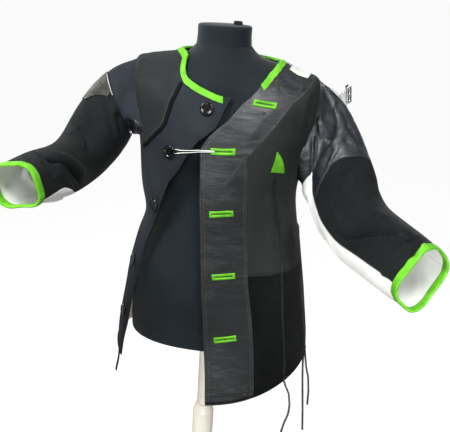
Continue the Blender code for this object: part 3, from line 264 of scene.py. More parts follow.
# Armholes: how far the front edge stands off the shoulder line at each row, and the back edge at most,
# in degrees of turn
ARMHOLES = {
    "left": {
        "under_row": LEFT_UNDERARM_ROW,
        "front": [
            (5.0, 0), (5.24, 1.5), (5.5, 3), (5.85, 5), (6.2, 9), (6.45, 15), (6.7, 22), (6.95, 26),
            (7.25, 24), (7.45, 19), (7.55, 15), (7.65, 8), (7.7, 0),
        ],
        "back": 23,
    },
    "right": {
        "under_row": RIGHT_UNDERARM_ROW,
        "front": [
            (5.0, 0), (5.06, 5), (5.24, 11), (5.5, 15), (5.85, 18), (6.2, 26), (6.45, 33), (6.7, 34),
            (6.88, 28), (7.0, 16), (7.05, 0),
        ],
        "back": 24,
    },
}

# Fasteners, as (turn, row) on the body: the buttons, how far each sinks into the cloth in millimetres, and
# the holes with their tilt in degrees
BUTTON_PLACES = [(-4.5, 4.30), (-27.5, 6.78), (-44.0, 8.47), (-60.5, 10.82), (-60.5, 12.70)]
BUTTON_SINK = [0.1, 0.1, 0.5, 0.65, 0.0]
HOLE_PLACES = [
    (32.5, 4.44, 33), (7.5, 6.45, 0), (10.0, 8.43, -7), (12.5, 10.62, -8), (14.5, 12.75, -10),
]

LACE_RADIUS = 2 * MM
LOOP_RADIUS = 0.8 * MM
# The loop's two strands on their way to the button: places on the welt as shares of its length, then turns
# on the right front, and at each of these how far apart the strands lie, in shares, and how high, in
# millimetres. The first turn of their straight way is LOOP_START.
LOOP_ON_WELT = [-0.34, -0.46, -0.54]
LOOP_TURNS = [-7.5, -11.5, -15.5, -19.5]
LOOP_START = -4
LOOP_APART = 0.038
LOOP_SPREAD = [0.3, 0.5, 0.6, 0.8, 0.9, 1.0, 1.1]
LOOP_LIFT = [4.2, 4.4, 3.6, 3.0, 2.6, 2.4, 2.2]
# Routes of the laces below the hem: the turn and the drop at which each starts, and its steps from there
LACE_ROUTES = {
    "lace_1": (51.5, 0.8, [
        (0, 0, 0), (5, 0, -14), (14, 0, -32), (19, 1, -64), (18, 1, -90), (10, 0, -118), (5, 1, -146),
    ]),
    "lace_2": (78.0, 1.0, [(0, 0, 0), (1, 0, -20), (4, 1, -60), (9, 2, -110), (14, 2, -160), (19, 2, -218)]),
    "lace_3": (86.0, 1.0, [
        (0, 0, 0), (4, -1, -24), (9, -2, -52), (16, -3, -76), (21, -2, -118), (22, 0, -160),
    ]),
}

# Folds that the photograph shows, and some like them on the hidden sides: a path on a surface
# (turn or angle, then row or place along), its half width and its height in millimetres
FOLDS = {
    "right": [
        ([(16, 4.7), (32, 5.05), (44, 5.8)], 8, -3.0), ([(4, 4.9), (20, 5.4), (36, 6.1)], 11, 2.6),
        ([(40, 8.3), (58, 7.8), (74, 7.6), (104, 7.15)], 5, -4.0),
        ([(56, 8.1), (74, 7.98), (94, 8.0), (116, 7.6)], 5, 3.6),
        ([(34, 7.7), (58, 7.35), (86, 7.0)], 9, 2.4),
        ([(-6, 8.25), (16, 8.45), (34, 8.7)], 5, 2.2), ([(-12, 8.45), (8, 8.7), (24, 8.95)], 4, -1.8),
        ([(94, 2.1), (108, 2.6), (118, 3.1)], 6, -4.0), ([(84, 1.9), (96, 2.5), (104, 3.2)], 8, 2.2),
        ([(54, 2.6), (66, 3.1), (76, 3.7)], 12, 1.8), ([(82, 8.6), (78, 8.4), (74, 8.2)], 5, 1.6),
        ([(150, 7.2), (165, 7.5), (182, 7.6)], 5, -2.6), ([(150, 7.6), (166, 7.9), (184, 8.0)], 6, 2.2),
        ([(225, 5.0), (245, 5.6), (260, 6.4)], 12, 2.4), ([(235, 7.2), (262, 7.5), (290, 7.4)], 8, -2.2),
        ([(240, 2.4), (255, 3.1), (262, 3.9)], 10, 2.2), ([(120, 0.5), (150, 0.7), (200, 0.6)], 5, 1.6),
        ([(125, 0.9), (160, 1.15), (210, 1.1)], 5, -1.6),
    ],
    "left": [
        ([(138, 0.8), (144, 1.4), (146, 2.0)], 22, 4.8), ([(120, 7.9), (96, 8.15), (70, 8.4)], 6, 2.0),
        ([(30, 7.6), (44, 8.2), (58, 8.6)], 6, -1.8), ([(20, 7.9), (34, 8.4), (44, 8.8)], 6, 2.0),
        ([(78, 0.3), (86, 0.6), (74, 1.2)], 4, 2.0), ([(94, 0.5), (104, 0.9), (114, 1.3)], 4, 1.8),
        ([(99, 0.45), (112, 0.9), (122, 1.3)], 4, -1.6), ([(30, 0.35), (46, 1.0), (48, 1.8)], 9, 2.2),
        ([(32, 0.75), (22, 1.7), (4, 2.55)], 7, -2.2), ([(40, 0.8), (32, 1.7), (16, 2.6)], 8, 2.0),
        ([(60, 1.5), (56, 2.0), (70, 2.4)], 5, 1.6), ([(56, 3.1), (70, 4.4), (84, 5.6)], 8, 2.0),
        ([(42, 3.6), (58, 4.8), (74, 5.9)], 9, -1.8), ([(34, 3.9), (46, 5.0), (60, 6.0)], 11, 1.8),
        ([(102, 6.2), (86, 6.7), (70, 7.05), (48, 7.5)], 5, -3.2),
        ([(100, 6.45), (84, 6.95), (66, 7.3), (44, 7.75)], 6, 2.6),
        ([(90, 5.9), (70, 6.5), (50, 6.9)], 9, 2.0),
        ([(74, 7.75), (54, 7.8), (40, 7.95)], 4, -1.8), ([(42, 6.2), (34, 6.4), (26, 6.7)], 8, 1.6),
        ([(125, 5.5), (140, 6.0), (155, 6.1)], 5, -1.6), ([(130, 3.0), (140, 4.0), (150, 5.0)], 6, 1.4),
        ([(225, 2.6), (240, 3.8), (255, 5.2)], 12, 2.6), ([(215, 6.0), (245, 6.6), (280, 6.9)], 7, -2.6),
        ([(215, 6.35), (245, 6.95), (280, 7.25)], 8, 2.2), ([(300, 0.6), (285, 1.4), (270, 2.2)], 9, 2.2),
    ],
    "body": [
        ([(55, 3.85), (53, 4.15), (51, 4.45)], 5, 1.6), ([(64, 4.2), (63, 4.45), (61, 4.7)], 4, 1.4),
        ([(48, 4.0), (44, 4.3), (40, 4.5)], 6, 1.0), ([(64, 5.35), (62, 5.9), (61, 6.4)], 6, -2.0),
        ([(68, 5.5), (67, 6.1), (66, 6.7)], 4, 1.8), ([(57, 5.2), (56, 5.8), (56, 6.5)], 8, 1.6),
        ([(29, 5.0), (25, 5.5), (21, 6.0)], 10, 1.2), ([(41, 5.35), (45, 5.6), (49, 5.95)], 6, 1.2),
        ([(12, 7.95), (16, 8.2), (19, 8.45)], 6, 1.2), ([(6, 11.4), (7, 11.9), (8, 12.45)], 8, 1.0),
        ([(2, 9.1), (8, 9.2), (14, 9.1)], 8, -0.8), ([(-72, 4.45), (-68, 4.75), (-63, 5.05)], 4, 2.2),
        ([(-66, 4.4), (-61, 4.7), (-57, 5.0)], 5, -1.4), ([(-35, 5.0), (-40, 5.9), (-45, 6.75)], 14, 0.8),
        ([(45, 8.2), (43, 9.4), (42, 10.5)], 14, 1.0), ([(62, 8.2), (66, 9.0), (70, 9.8)], 9, 1.8),
        ([(34, 11.6), (35, 13.0), (36, 14.5)], 14, 1.0), ([(70, 11.2), (72, 12.6), (74, 14.2)], 12, 1.8),
        ([(118, 6.2), (125, 7.2), (128, 8.6)], 12, 3.8), ([(150, 5.4), (158, 6.2), (162, 7.4)], 14, 3.4),
        ([(-150, 5.4), (-158, 6.3), (-163, 7.5)], 14, 3.4),
        ([(-116, 6.0), (-122, 7.2), (-128, 8.4)], 12, 3.8),
        ([(130, 10.0), (160, 10.3), (-170, 10.1)], 9, -1.6),
        ([(140, 11.2), (142, 13.0), (145, 14.8)], 16, 5.0), ([(158, 9.8), (150, 10.3), (138, 10.7)], 9, 3.0),
        ([(-140, 11.0), (-143, 13.0), (-146, 14.8)], 16, 5.0),
        ([(176, 11.6), (178, 13.2), (180, 14.8)], 18, 4.0),
        ([(105, 9.6), (112, 10.4), (122, 10.9)], 8, 3.2), ([(-128, 9.4), (-120, 10.0), (-114, 10.6)], 8, 3.0),
        ([(-160, 9.5), (-150, 10.0), (-136, 10.5)], 9, 2.8),
    ],
    "form": [
        ([(-26, 12.5), (-12, 12.6), (4, 12.45)], 4, 1.0), ([(-30, 12.95), (-14, 12.95), (2, 12.9)], 4, 0.9),
    ],
}
# Points read along each fold's path
FOLD_POINTS = 9
# How many times higher the folds stand than listed, on each surface
FOLD_GAIN = {"left": 2.4, "right": 2.4, "body": 1.7, "form": 1.0}
# Soft unevenness of the cloth between the folds, in millimetres
RIPPLE = {"left": 0.8, "right": 0.8, "body": 0.5, "form": 0.0}
# The jacket's body is pressed in no deeper than this
DEEPEST_HOLLOW = -1.2 * MM
# Each cuff is pressed out of round: the angle of its first corner, how far it is pressed, and over how many
# places up the arm that fades
CUFF_CORNERS = {"left": 30, "right": 38}
CUFF_PRESS = 4 * MM
CUFF_REACH = 1.1

# Shoulder slide of the sling: its middle, the way down it and the way out of its face
SLIDE_CENTRE = (0.277, -0.002, 1.350)
SLIDE_DOWN = (0.12, 0, -1.0)
SLIDE_OUT = (0.95, -0.3, 0.114)

# Section of a buttonhole's padded lip from its outer foot to the slot: share of the half width, and height
# in millimetres
LIP_SECTION = [
    (1.0, 0.0), (1.0, 0.9), (0.9, 1.7), (0.68, 2.3), (0.42, 2.2), (0.24, 1.5), (0.14, 0.4), (0.14, 0.0),
]

# Camera: a 54 mm lens, its place, and its right and upward directions
LENS = 54.0
SENSOR = 36.0
EYE = (0.1818, -1.4918, 1.58)
EYE_RIGHT = (0.99035, 0.12537, 0.05912)
EYE_UP = (-0.09761, 0.32802, 0.93961)

WORLD_LIGHT = 0.34
ROOM_RADIUS = 40.0
# Lamps: name, place, point aimed at, width in metres, power in watts
LIGHTS = [
    ("key", (-0.7, -0.85, 2.3), (0, 0, 1.25), 0.5, 30),
    ("window", (0.35, -1.05, 2.2), (0.1, 0, 1.3), 0.5, 20),
    ("low", (-0.15, -1.5, 1.0), (0, 0, 1.15), 0.35, 3.5),
    ("rear", (0.4, 1.9, 1.25), (0, 0, 1.05), 0.9, 26),
    ("rear_left", (-1.5, 0.9, 1.9), (0, 0, 1.1), 0.6, 14),
]
# Narrow lamps on the pale insides of the cuffs and on the pole: name, place, point aimed at, cone in
# degrees, power in watts
NARROW_LIGHTS = [
    ("right_cuff", (-0.35, -1.5, 1.5), (-0.335, -0.365, 1.115), 15, 60),
    ("left_cuff", (0.95, -1.3, 1.3), (0.425, -0.3, 0.985), 19, 75),
    ("left_cuff_low", (0.3, -1.5, 0.75), (0.425, -0.3, 0.985), 22, 40),
    ("pole", (0.15, -1.7, 0.35), (0, 0, 0.5), 24, 45),
]

def smooth_read(table, where):
    """Reads a table of sections at fractional row numbers, on a Catmull-Rom curve."""
    rows = np.array(table, float)
    where = np.asarray(where, float)
    last = len(rows) - 1
    base = np.clip(np.floor(where).astype(int), 0, last - 1)
    part = (where - base)[..., None]
    before = rows[np.maximum(base - 1, 0)]
    here = rows[base]
    there = rows[base + 1]
    after = rows[np.minimum(base + 2, last)]
    bend = 2 * before - 5 * here + 4 * there - after + part * (3 * (here - there) + after - before)
    return here + 0.5 * part * (there - before + part * bend)


def line_read(table, where):
    """Reads a two-column table along straight stretches."""
    columns = np.array(table, float)
    return np.interp(where, columns[:, 0], columns[:, 1])


def unit(vectors):
    """Each vector over its own length."""
    return vectors / np.linalg.norm(vectors, axis=-1, keepdims=True)


def ring_point(table, turn, ring):
    """Point on a body of rings: an ellipse whose half sizes and height differ at its four sides."""
    turn, ring = np.broadcast_arrays(np.asarray(turn, float), np.asarray(ring, float))
    read = dict(zip(RING_COLUMNS, np.moveaxis(smooth_read(table, ring), -1, 0)))
    across = np.sin(np.radians(turn))
    ahead = np.cos(np.radians(turn))
    side = np.where(across > 0, read["left"], read["right"])
    side_z = np.where(across > 0, read["left_z"], read["right_z"])
    face = np.where(ahead > 0, read["front"], read["back"])
    face_z = np.where(ahead > 0, read["front_z"], read["back_z"])
    swell = 1 + read["square"] * (2 * across * ahead) ** 2
    height = face_z * ahead**2 + side_z * across**2
    return np.stack([side * across * swell, -face * ahead * swell, height], axis=-1) * MM


def with_normals(point_at, u, v):
    """Points and outward normals of a surface given by a function of two numbers."""
    step_u, step_v = 0.05, 0.005
    u, v = np.broadcast_arrays(np.asarray(u, float), np.asarray(v, float))
    along_u = point_at(u + step_u, v) - point_at(u - step_u, v)
    along_v = point_at(u, v + step_v) - point_at(u, v - step_v)
    return point_at(u, v), unit(np.cross(along_v, along_u))


def form_point(turn, ring):
    """Outside of the dress form."""
    return ring_point(FORM_RINGS, turn, ring)


def body_point(turn, row):
    """Inside of the jacket's body. Above the yoke the rows share out the way from the neckline."""
    turn, row = np.broadcast_arrays(np.asarray(turn, float), np.asarray(row, float))
    wrapped = (turn + 180) % 360 - 180
    neck = line_read(NECKLINE, wrapped)
    ring = np.where(row < YOKE_ROW, neck + (YOKE_ROW - neck) * (row - NECK_ROW), row)
    return ring_point(JACKET_RINGS, turn, ring)


def body_surface(turn, row):
    """Inside of the jacket's body, with its outward normals."""
    return with_normals(body_point, turn, row)


def armhole_angle(side, row):
    """Angle round the armhole at a row: 0 at the shoulder tip and 180 under the arm."""
    under = ARMHOLES[side]["under_row"]
    middle, half = (SHOULDER_TIP_ROW + under) / 2, (under - SHOULDER_TIP_ROW) / 2
    return np.degrees(np.arccos(np.clip((middle - np.asarray(row, float)) / half, -1, 1)))


def armhole_turn(side, angle):
    """Turn of the armhole's edge. Angles up to 180 are its front edge, and on to 360 its back edge."""
    hole = ARMHOLES[side]
    round_it = np.sin(np.radians(angle))
    front = line_read(hole["front"], armhole_row(side, angle))
    off = np.where(round_it > 0, front, -hole["back"] * np.abs(round_it))
    return 90 - off if side == "left" else off - 90


def armhole_row(side, angle):
    """Row of the armhole's edge: the middle row less half its height times the cosine of the angle."""
    under = ARMHOLES[side]["under_row"]
    middle, half = (SHOULDER_TIP_ROW + under) / 2, (under - SHOULDER_TIP_ROW) / 2
    return middle - half * np.cos(np.radians(angle))


def sleeve_ellipse(side, angle, along):
    """Point on the sleeve's own ellipse: angle 0 is its top and 90 its front."""
    table = LEFT_SLEEVE if side == "left" else RIGHT_SLEEVE
    read = dict(zip(SLEEVE_COLUMNS, np.moveaxis(smooth_read(table, along), -1, 0)))
    mirror = 1 if side == "left" else -1
    heading, lean = np.radians(read["heading"]), np.radians(read["lean"])
    zero = np.zeros_like(heading)
    top = np.stack(
        [np.cos(heading) * np.sin(lean), -np.sin(heading) * np.sin(lean), np.cos(lean)], axis=-1
    )
    front = np.stack([-np.sin(heading), -np.cos(heading), zero], axis=-1)
    centre = np.stack([read["x"], read["y"], read["z"]], axis=-1)
    angle = angle + read["twist"]
    high = (read["high"] * np.cos(np.radians(angle)))[..., None]
    deep = (read["deep"] * np.sin(np.radians(angle)))[..., None]
    return (centre + high * top + deep * front) * MM * np.array([mirror, 1, 1])


def sleeve_point(side, angle, along):
    """Inside of a sleeve. It starts on the armhole's edge and fades into the ellipses."""
    angle, along = np.broadcast_arrays(np.asarray(angle, float), np.asarray(along, float))
    edge = body_point(armhole_turn(side, angle % 360), armhole_row(side, angle))
    part = np.clip(along / ARMHOLE_FADE, 0, 1)
    fade = (1 - part * part * (3 - 2 * part))[..., None]
    start = sleeve_ellipse(side, angle, np.zeros_like(along))
    return sleeve_ellipse(side, angle, along) + fade * (edge - start)


def sleeve_surface(side):
    """Inside of a sleeve, with its outward normals, as a function of angle and place along."""
    def point_at(u, v):
        """The sleeve's point, and at the armhole where the place along is below 0."""
        return sleeve_point(side, u, np.maximum(v, 0))

    def surface(angle, along):
        """Points at the given places, and normals read just off the armhole."""
        _, normals = with_normals(point_at, angle, np.maximum(along, FIRST_NORMALS))
        return point_at(angle, along), normals * (1 if side == "right" else -1)

    return surface


def armhole_rim(side, angle):
    """Wall vector at the armhole seam, mitred between the body and the sleeve, which both use it."""
    _, body = body_surface(armhole_turn(side, angle % 360), armhole_row(side, angle))
    _, sleeve = sleeve_surface(side)(angle, np.full_like(np.asarray(angle, float), MITRE_PLACE))
    middle = unit(body + sleeve)
    cosine = np.maximum((middle * body).sum(-1, keepdims=True), MITRE_LIMIT)
    return middle * WALL / cosine


def body_grid(rows, first, last, columns):
    """Turns and rows of a panel whose two edges are given at each row."""
    share = np.linspace(0, 1, columns + 1)[None, :]
    turns = first[:, None] + (last - first)[:, None] * share
    return turns, np.repeat(rows[:, None], columns + 1, axis=1)


def side_edge(side, rows, which, seam):
    """Turn of a panel's edge down a side: shoulder seam, then armhole, then side seam."""
    mirror = 1 if side == "left" else -1
    under = ARMHOLES[side]["under_row"]
    angle = armhole_angle(side, rows)
    angle = angle if which == "front" else 360 - angle
    edge = np.where(
        (rows >= SHOULDER_TIP_ROW) & (rows <= under), armhole_turn(side, angle), mirror * 90.0
    )
    return np.where(rows > under, seam(rows), edge)


def armhole_rims(side, which, rows, columns, column):
    """Mask and wall vectors of a panel's points along the armhole."""
    mask = np.zeros((len(rows), columns + 1), bool)
    near = (rows >= SHOULDER_TIP_ROW - CLOSE) & (rows <= ARMHOLES[side]["under_row"] + CLOSE)
    mask[near, column] = True
    angle = armhole_angle(side, rows[near])
    angle = angle if which == "front" else 360 - angle
    return mask, armhole_rim(side, angle)


def left_side_seam(rows):
    """Turn of the left side seam: 90 at every row."""
    return np.full(len(rows), 90.0)


def right_side_seam(rows):
    """Turn of the right side seam, which runs back towards the hem."""
    return line_read(RIGHT_SIDE_SEAM, rows)


def tape_sections(surface, turns, edge, inward, width):
    """Sections of a binding tape folded over an edge: outside leg, fold, and inside leg.

    edge is the row of the edge at each turn, and inward is the sign of a step of rows into the cloth.
    """
    def at(distance):
        """Points and normals at a distance in metres from the edge, inwards along the cloth."""
        step = 0.01 * inward
        here, _ = surface(turns, edge)
        there, _ = surface(turns, edge + step)
        pace = np.linalg.norm(there - here, axis=-1) / abs(step)
        return surface(turns, edge + inward * distance / pace)

    points, normals = at(0)
    inside, _ = at(2 * MM)
    beyond = unit(points - inside)
    out_low, out_high = WALL + LAID_GAP, WALL + LAID_GAP + TAPE
    in_high, in_low = -LAID_GAP - INSIDE_EASE, -LAID_GAP - INSIDE_EASE - TAPE
    half_leg, half_leg_normals = at(width / 2)
    leg, leg_normals = at(width)
    turn_in, turn_in_normals = at(TAPE_TURN_IN)
    rim, fold = SEAM_GAP, SEAM_GAP + TAPE
    return np.stack([
        leg + leg_normals * out_high,
        half_leg + half_leg_normals * out_high,
        points + normals * out_high,
        points + beyond * fold + normals * WALL,
        points + beyond * fold,
        points + normals * in_low,
        turn_in + turn_in_normals * in_low,
        turn_in + turn_in_normals * in_high,
        points + normals * in_high + beyond * rim,
        points + normals * out_low + beyond * rim,
        half_leg + half_leg_normals * out_low,
        leg + leg_normals * out_low,
    ], axis=1)


def sleeve_stations(side):
    """Angles round a sleeve that match the rows of the front and of the back along the armhole."""
    under = ARMHOLES[side]["under_row"]
    front = armhole_angle(side, row_span(side, SHOULDER_TIP_ROW, under))
    back = armhole_angle(side, row_span("back", SHOULDER_TIP_ROW, under))
    return np.concatenate([front, 360 - back[-2::-1]])


def stations_between(side, first, last):
    """The sleeve's stations from the one nearest to an angle to the one nearest to another."""
    every = sleeve_stations(side)
    every = np.concatenate([every[:-1] - 360, every[:-1], every + 360])
    start, end = np.abs(every - first).argmin(), np.abs(every - last).argmin()
    return every[start:end + 1]


def on_body(turn, row, tilt, across, down):
    """Body coordinates of points given by distances from a place, along a tilted pair of axes."""
    turn_step, row_step = 0.1, 0.01
    point = body_point(turn, row)
    per_turn = body_point(turn + turn_step, row) - point
    per_row = body_point(turn, row + row_step) - point
    angle = math.radians(tilt)
    sideways = across * math.cos(angle) - down * math.sin(angle)
    downwards = across * math.sin(angle) + down * math.cos(angle)
    along = unit(per_turn)
    skew = per_row - along * (per_row @ along)
    rows_down = downwards / np.linalg.norm(skew) * row_step
    slip = rows_down / row_step * (per_row @ along)
    turns_aside = (sideways - slip) / np.linalg.norm(per_turn) * turn_step
    return turn + turns_aside, row + rows_down


def even_points(route, spacing):
    """Points at even steps along a route, its corners rounded off."""
    route = np.array(route, float)
    way = np.concatenate([[0], np.cumsum(np.linalg.norm(np.diff(route, axis=0), axis=1))])
    places = np.linspace(0, way[-1], max(4, round(way[-1] / spacing)) + 1)
    points = np.stack([np.interp(places, way, route[:, k]) for k in range(3)], axis=1)
    points[1:-1] = points[:-2] / 4 + points[1:-1] / 2 + points[2:] / 4
    return points


def coarse_rows(side, first, last):
    """The solids' rows of one side, from first to last."""
    rows = np.array(ROWS[side])
    return rows[(rows >= first - CLOSE) & (rows <= last + CLOSE)]


def row_span(side, first, last):
    """The same rows with each step shared out in fine ones."""
    return finer(coarse_rows(side, first, last))


def finer(values, times=FINER):
    """A row of values with each step shared out in equal smaller steps."""
    values = np.asarray(values, float)
    places = np.arange((len(values) - 1) * times + 1) / times
    base = np.minimum(places.astype(int), len(values) - 2)
    return values[base] + (values[base + 1] - values[base]) * (places - base)


def loop_route():
    """Route of the elastic loop: from the second buttonhole, round the second button's shank and back."""
    hole_turn, hole_row, _ = HOLE_PLACES[1]
    button_turn, button_row = BUTTON_PLACES[1]
    button, out = body_surface(button_turn, button_row)
    shank = button + out * (WALL + SEAM_GAP + SHANK_HEIGHT / 2)
    strands = []
    count = len(LOOP_ON_WELT)
    for apart in (-LOOP_APART, LOOP_APART):
        across = np.array(LOOP_ON_WELT) * WELT_LENGTH
        on_welt, on_row = on_body(hole_turn, hole_row, 0, across, np.zeros(count))
        turns = np.concatenate([on_welt, LOOP_TURNS])
        slope = (button_row - hole_row) / (button_turn - LOOP_START)
        rows = np.concatenate([on_row, hole_row + slope * (turns[count:] - LOOP_START)])
        rows = rows + apart * np.array(LOOP_SPREAD)
        lift = np.array(LOOP_LIFT) * MM + WALL
        points, normals = body_surface(turns, rows)
        strands.append(points + normals * lift[:, None])
    to_button = unit(shank - strands[0][-1])
    up = unit(np.cross(out, to_button))
    up = up if up[2] > 0 else -up
    ahead = unit(np.cross(up, out))
    ahead = ahead if ahead @ to_button > 0 else -ahead
    bend = SHANK_RADIUS + LOOP_RADIUS + 1.5 * MM
    around = [
        shank + up * bend * math.sin(math.radians(a)) + ahead * bend * math.cos(math.radians(a))
        for a in range(105, -106, -15)
    ]
    route = [*strands[0], *around, *strands[1][::-1]]
    return even_points(route, 3.4 * MM)


def surface_of(part):
    """The surface that a part's cloth lies on: a sleeve, the form, or the jacket's body."""
    if part in ("left", "right"):
        return sleeve_surface(part)
    if part == "form":
        return lambda turn, ring: with_normals(form_point, turn, ring)
    return body_surface


def fold_paths(part):
    """Every fold's path as short straight stretches in space, read from its surface."""
    surface, paths = surface_of(part), []
    for places, width, height in FOLDS[part]:
        places = np.array(places, float)
        places[:, 0] = np.unwrap(places[:, 0], period=360)
        share = np.linspace(0, len(places) - 1, FOLD_POINTS)
        u, v = (np.interp(share, np.arange(len(places)), places[:, k]) for k in (0, 1))
        paths.append((surface(u, v)[0], width * MM, height * MM))
    return paths


def bell_folds(points, paths):
    """Sum of the folds: height times exp(-(distance to the path / half width) squared)."""
    total = np.zeros(points.shape[:-1])
    for path, width, height in paths:
        nearest = np.full(points.shape[:-1], np.inf)
        for start, end in zip(path[:-1], path[1:]):
            way = end - start
            part = np.clip((points - start) @ way / (way @ way), 0, 1)[..., None]
            nearest = np.minimum(nearest, np.linalg.norm(points - start - part * way, axis=-1))
        total += height * np.exp(-((nearest / width) ** 2))
    return total


def ripple(points, size):
    """Soft unevenness: two products of crossed sine waves, one half as strong, bent by a longer wave."""
    x, y, z = np.moveaxis(points * 1000, -1, 0)
    bent = 9 * np.sin(z / 37 + x / 61)
    wave = np.sin((x + bent) / 23 + z / 71) * np.sin(z / 43 - y / 31 + 1.3)
    return size * MM * (wave + 0.5 * np.sin((z + bent) / 19 + y / 27 + 0.7) * np.sin(x / 17 + z / 53))


PATHS = {part: fold_paths(part) for part in FOLDS}


def worn(part):
    """A surface with its folds: each point moved along its normal by the bells of the folds and a ripple.

    A sleeve's lift fades in from the armhole, and a cosine of four times the angle presses its cuff out of
    round. The body's lift fades out at the neckline.
    """
    surface = surface_of(part)

    def folded(u, v):
        """The surface's points plus normal times lift, and the surface's own normals."""
        points, normals = surface(u, v)
        v = np.asarray(v, float)
        lift = FOLD_GAIN[part] * bell_folds(points, PATHS[part]) + ripple(points, RIPPLE[part])
        if part in CUFF_ROW:
            near_cuff = np.exp(-(((CUFF_ROW[part] - v) / CUFF_REACH) ** 2))
            corners = np.cos(np.radians(4 * (u - CUFF_CORNERS[part])))
            squared = corners + 0.35 * np.cos(np.radians(3 * u + 40))
            lift = lift * np.clip(v / 0.35, 0, 1) + CUFF_PRESS * squared * near_cuff
        if part == "left":
            lift = lift + ripple(points * 2.3, 0.5) * np.clip(1.6 - np.abs(v - 1.7), 0, 1)
        if part == "body":
            lift = np.maximum(lift, DEEPEST_HOLLOW) * np.clip((v - NECK_ROW) / 0.15, 0.2, 1)
        return points + normals * lift[..., None], normals

    return folded


def new_mesh(name, points, faces, finishes):
    """A smooth piece from points and triangles, at the origin and riding on the one body."""
    mesh = bpy.data.meshes.new(name)
    mesh.from_pydata(np.asarray(points, float).reshape(-1, 3), [], np.asarray(faces))
    for finish_of in finishes:
        mesh.materials.append(finish_of)
    mesh.shade_smooth()
    made = bpy.data.objects.new(name, mesh)
    bpy.context.scene.collection.objects.link(made)
    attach(made, "root")
    return made


def stand_for(made, node):
    """Hides the CAD node whose place a piece takes."""
    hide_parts(node)


def grid_triangles(points, normals, keep):
    """Two triangles for each kept cell, anticlockwise from outside. Points at one place share a number."""
    flat = np.round(points.reshape(-1, 3) / ONE_PLACE).astype(int)
    _, first, group = np.unique(flat, axis=0, return_index=True, return_inverse=True)
    number = first[group.ravel()].reshape(points.shape[:2])
    corner = [number[:-1, :-1], number[:-1, 1:], number[1:, 1:], number[1:, :-1]]
    quads = np.stack(corner, axis=-1)[keep]
    spot = points.reshape(-1, 3)[quads]
    out = normals[:-1, :-1][keep]
    turned = (np.cross(spot[:, 2] - spot[:, 0], spot[:, 3] - spot[:, 1]) * out).sum(-1) < 0
    quads[turned] = quads[turned][:, ::-1]
    faces = np.concatenate([quads[:, [0, 1, 2]], quads[:, [0, 2, 3]]])
    same = (faces[:, 0] == faces[:, 1]) | (faces[:, 1] == faces[:, 2]) | (faces[:, 2] == faces[:, 0])
    return faces[~same]


def open_edges(faces):
    """Directed edges that only one triangle has."""
    edges = np.concatenate([faces[:, [0, 1]], faces[:, [1, 2]], faces[:, [2, 0]]])
    most = int(edges.max()) + 1
    return edges[~np.isin(edges[:, 0] * most + edges[:, 1], edges[:, 1] * most + edges[:, 0])]


def cloth_piece(node, points, normals, wall, finishes, keep=None, low=0.0, gap=SEAM_GAP / 2, sink=EDGE_SINK):
    """Closed cloth over a grid of points, from low above them to the end of the wall vectors.

    Its rim is drawn in by the gap and its outer edge sinks a little, as where cloth turns under at a seam.
    Returns the piece, the greatest width and length of its grid, and the area of its middle layer.
    """
    if keep is None:
        keep = np.ones((points.shape[0] - 1, points.shape[1] - 1), bool)
    faces = grid_triangles(points, normals, keep)
    edges = open_edges(faces)
    flat, out = points.reshape(-1, 3), normals.reshape(-1, 3)
    way = unit(np.cross(out[edges], (flat[edges[:, 1]] - flat[edges[:, 0]])[:, None]))
    inward = np.zeros(flat.shape)
    np.add.at(inward, edges, way)
    scale = np.maximum((inward**2).sum(-1, keepdims=True) / 2, 0.25)
    inner = flat + inward / scale * gap + out * low
    rise = wall.reshape(-1, 3).copy()
    rise[np.unique(edges)] *= 1 - sink * MM / WALL
    used, compact = np.unique(faces, return_inverse=True)
    faces = compact.reshape(faces.shape)
    edges = np.searchsorted(used, edges)
    count = len(used)
    a, b = edges[:, 0], edges[:, 1]
    rim = np.concatenate([np.stack([a, b, b + count], 1), np.stack([a, b + count, a + count], 1)])
    every = np.concatenate([faces + count, faces[:, ::-1], rim])
    solid = np.concatenate([inner[used], (inner + rise)[used]])
    made = new_mesh(f"{node}_cloth", solid, every, finishes)
    kind = np.zeros(len(every), np.int32)
    kind[len(faces):2 * len(faces)] = len(finishes) - 1
    made.data.polygons.foreach_set("material_index", kind)
    made.data.set_sharp_from_angle(angle=SHARP_ANGLE)
    stand_for(made, node)
    sides = (inner + rise / 2)[used][faces]
    doubled = np.cross(sides[:, 1] - sides[:, 0], sides[:, 2] - sides[:, 0])
    area = float(np.linalg.norm(doubled, axis=1).sum() / 2)
    across = np.linalg.norm(np.diff(points, axis=1), axis=-1).sum(1).max()
    along = np.linalg.norm(np.diff(points, axis=0), axis=-1).sum(0).max()
    return made, (float(across), float(along)), area


def panel(node, surface, turns, rows, finishes, rims=(), keep=None, sink=EDGE_SINK):
    """A cut piece of cloth, a wall thick. rims are (mask, wall vectors) pairs along an armhole."""
    points, normals = surface(turns, rows)
    wall = normals * WALL
    for mask, vectors in rims:
        wall[mask] = vectors
    CUTS[node] = cloth_piece(node, points, normals, wall, finishes, keep, sink=sink)


def laid_piece(node, surface, turns, rows, thick, finishes, gap=LAID_GAP):
    """A piece that lies on a panel: the panel's outer points, moved out."""
    points, normals = surface(turns, rows)
    wall = normals * thick
    CUTS[node] = cloth_piece(node, points, normals, wall, finishes, low=WALL + gap, gap=0, sink=LAID_SINK)


def srgb(code):
    """Linear colour of a hex code."""
    parts = np.array([int(code[k:k + 2], 16) for k in (0, 2, 4)]) / 255
    linear = np.where(parts <= 0.04045, parts / 12.92, ((parts + 0.055) / 1.055) ** 2.4)
    return (*map(float, linear), 1.0)


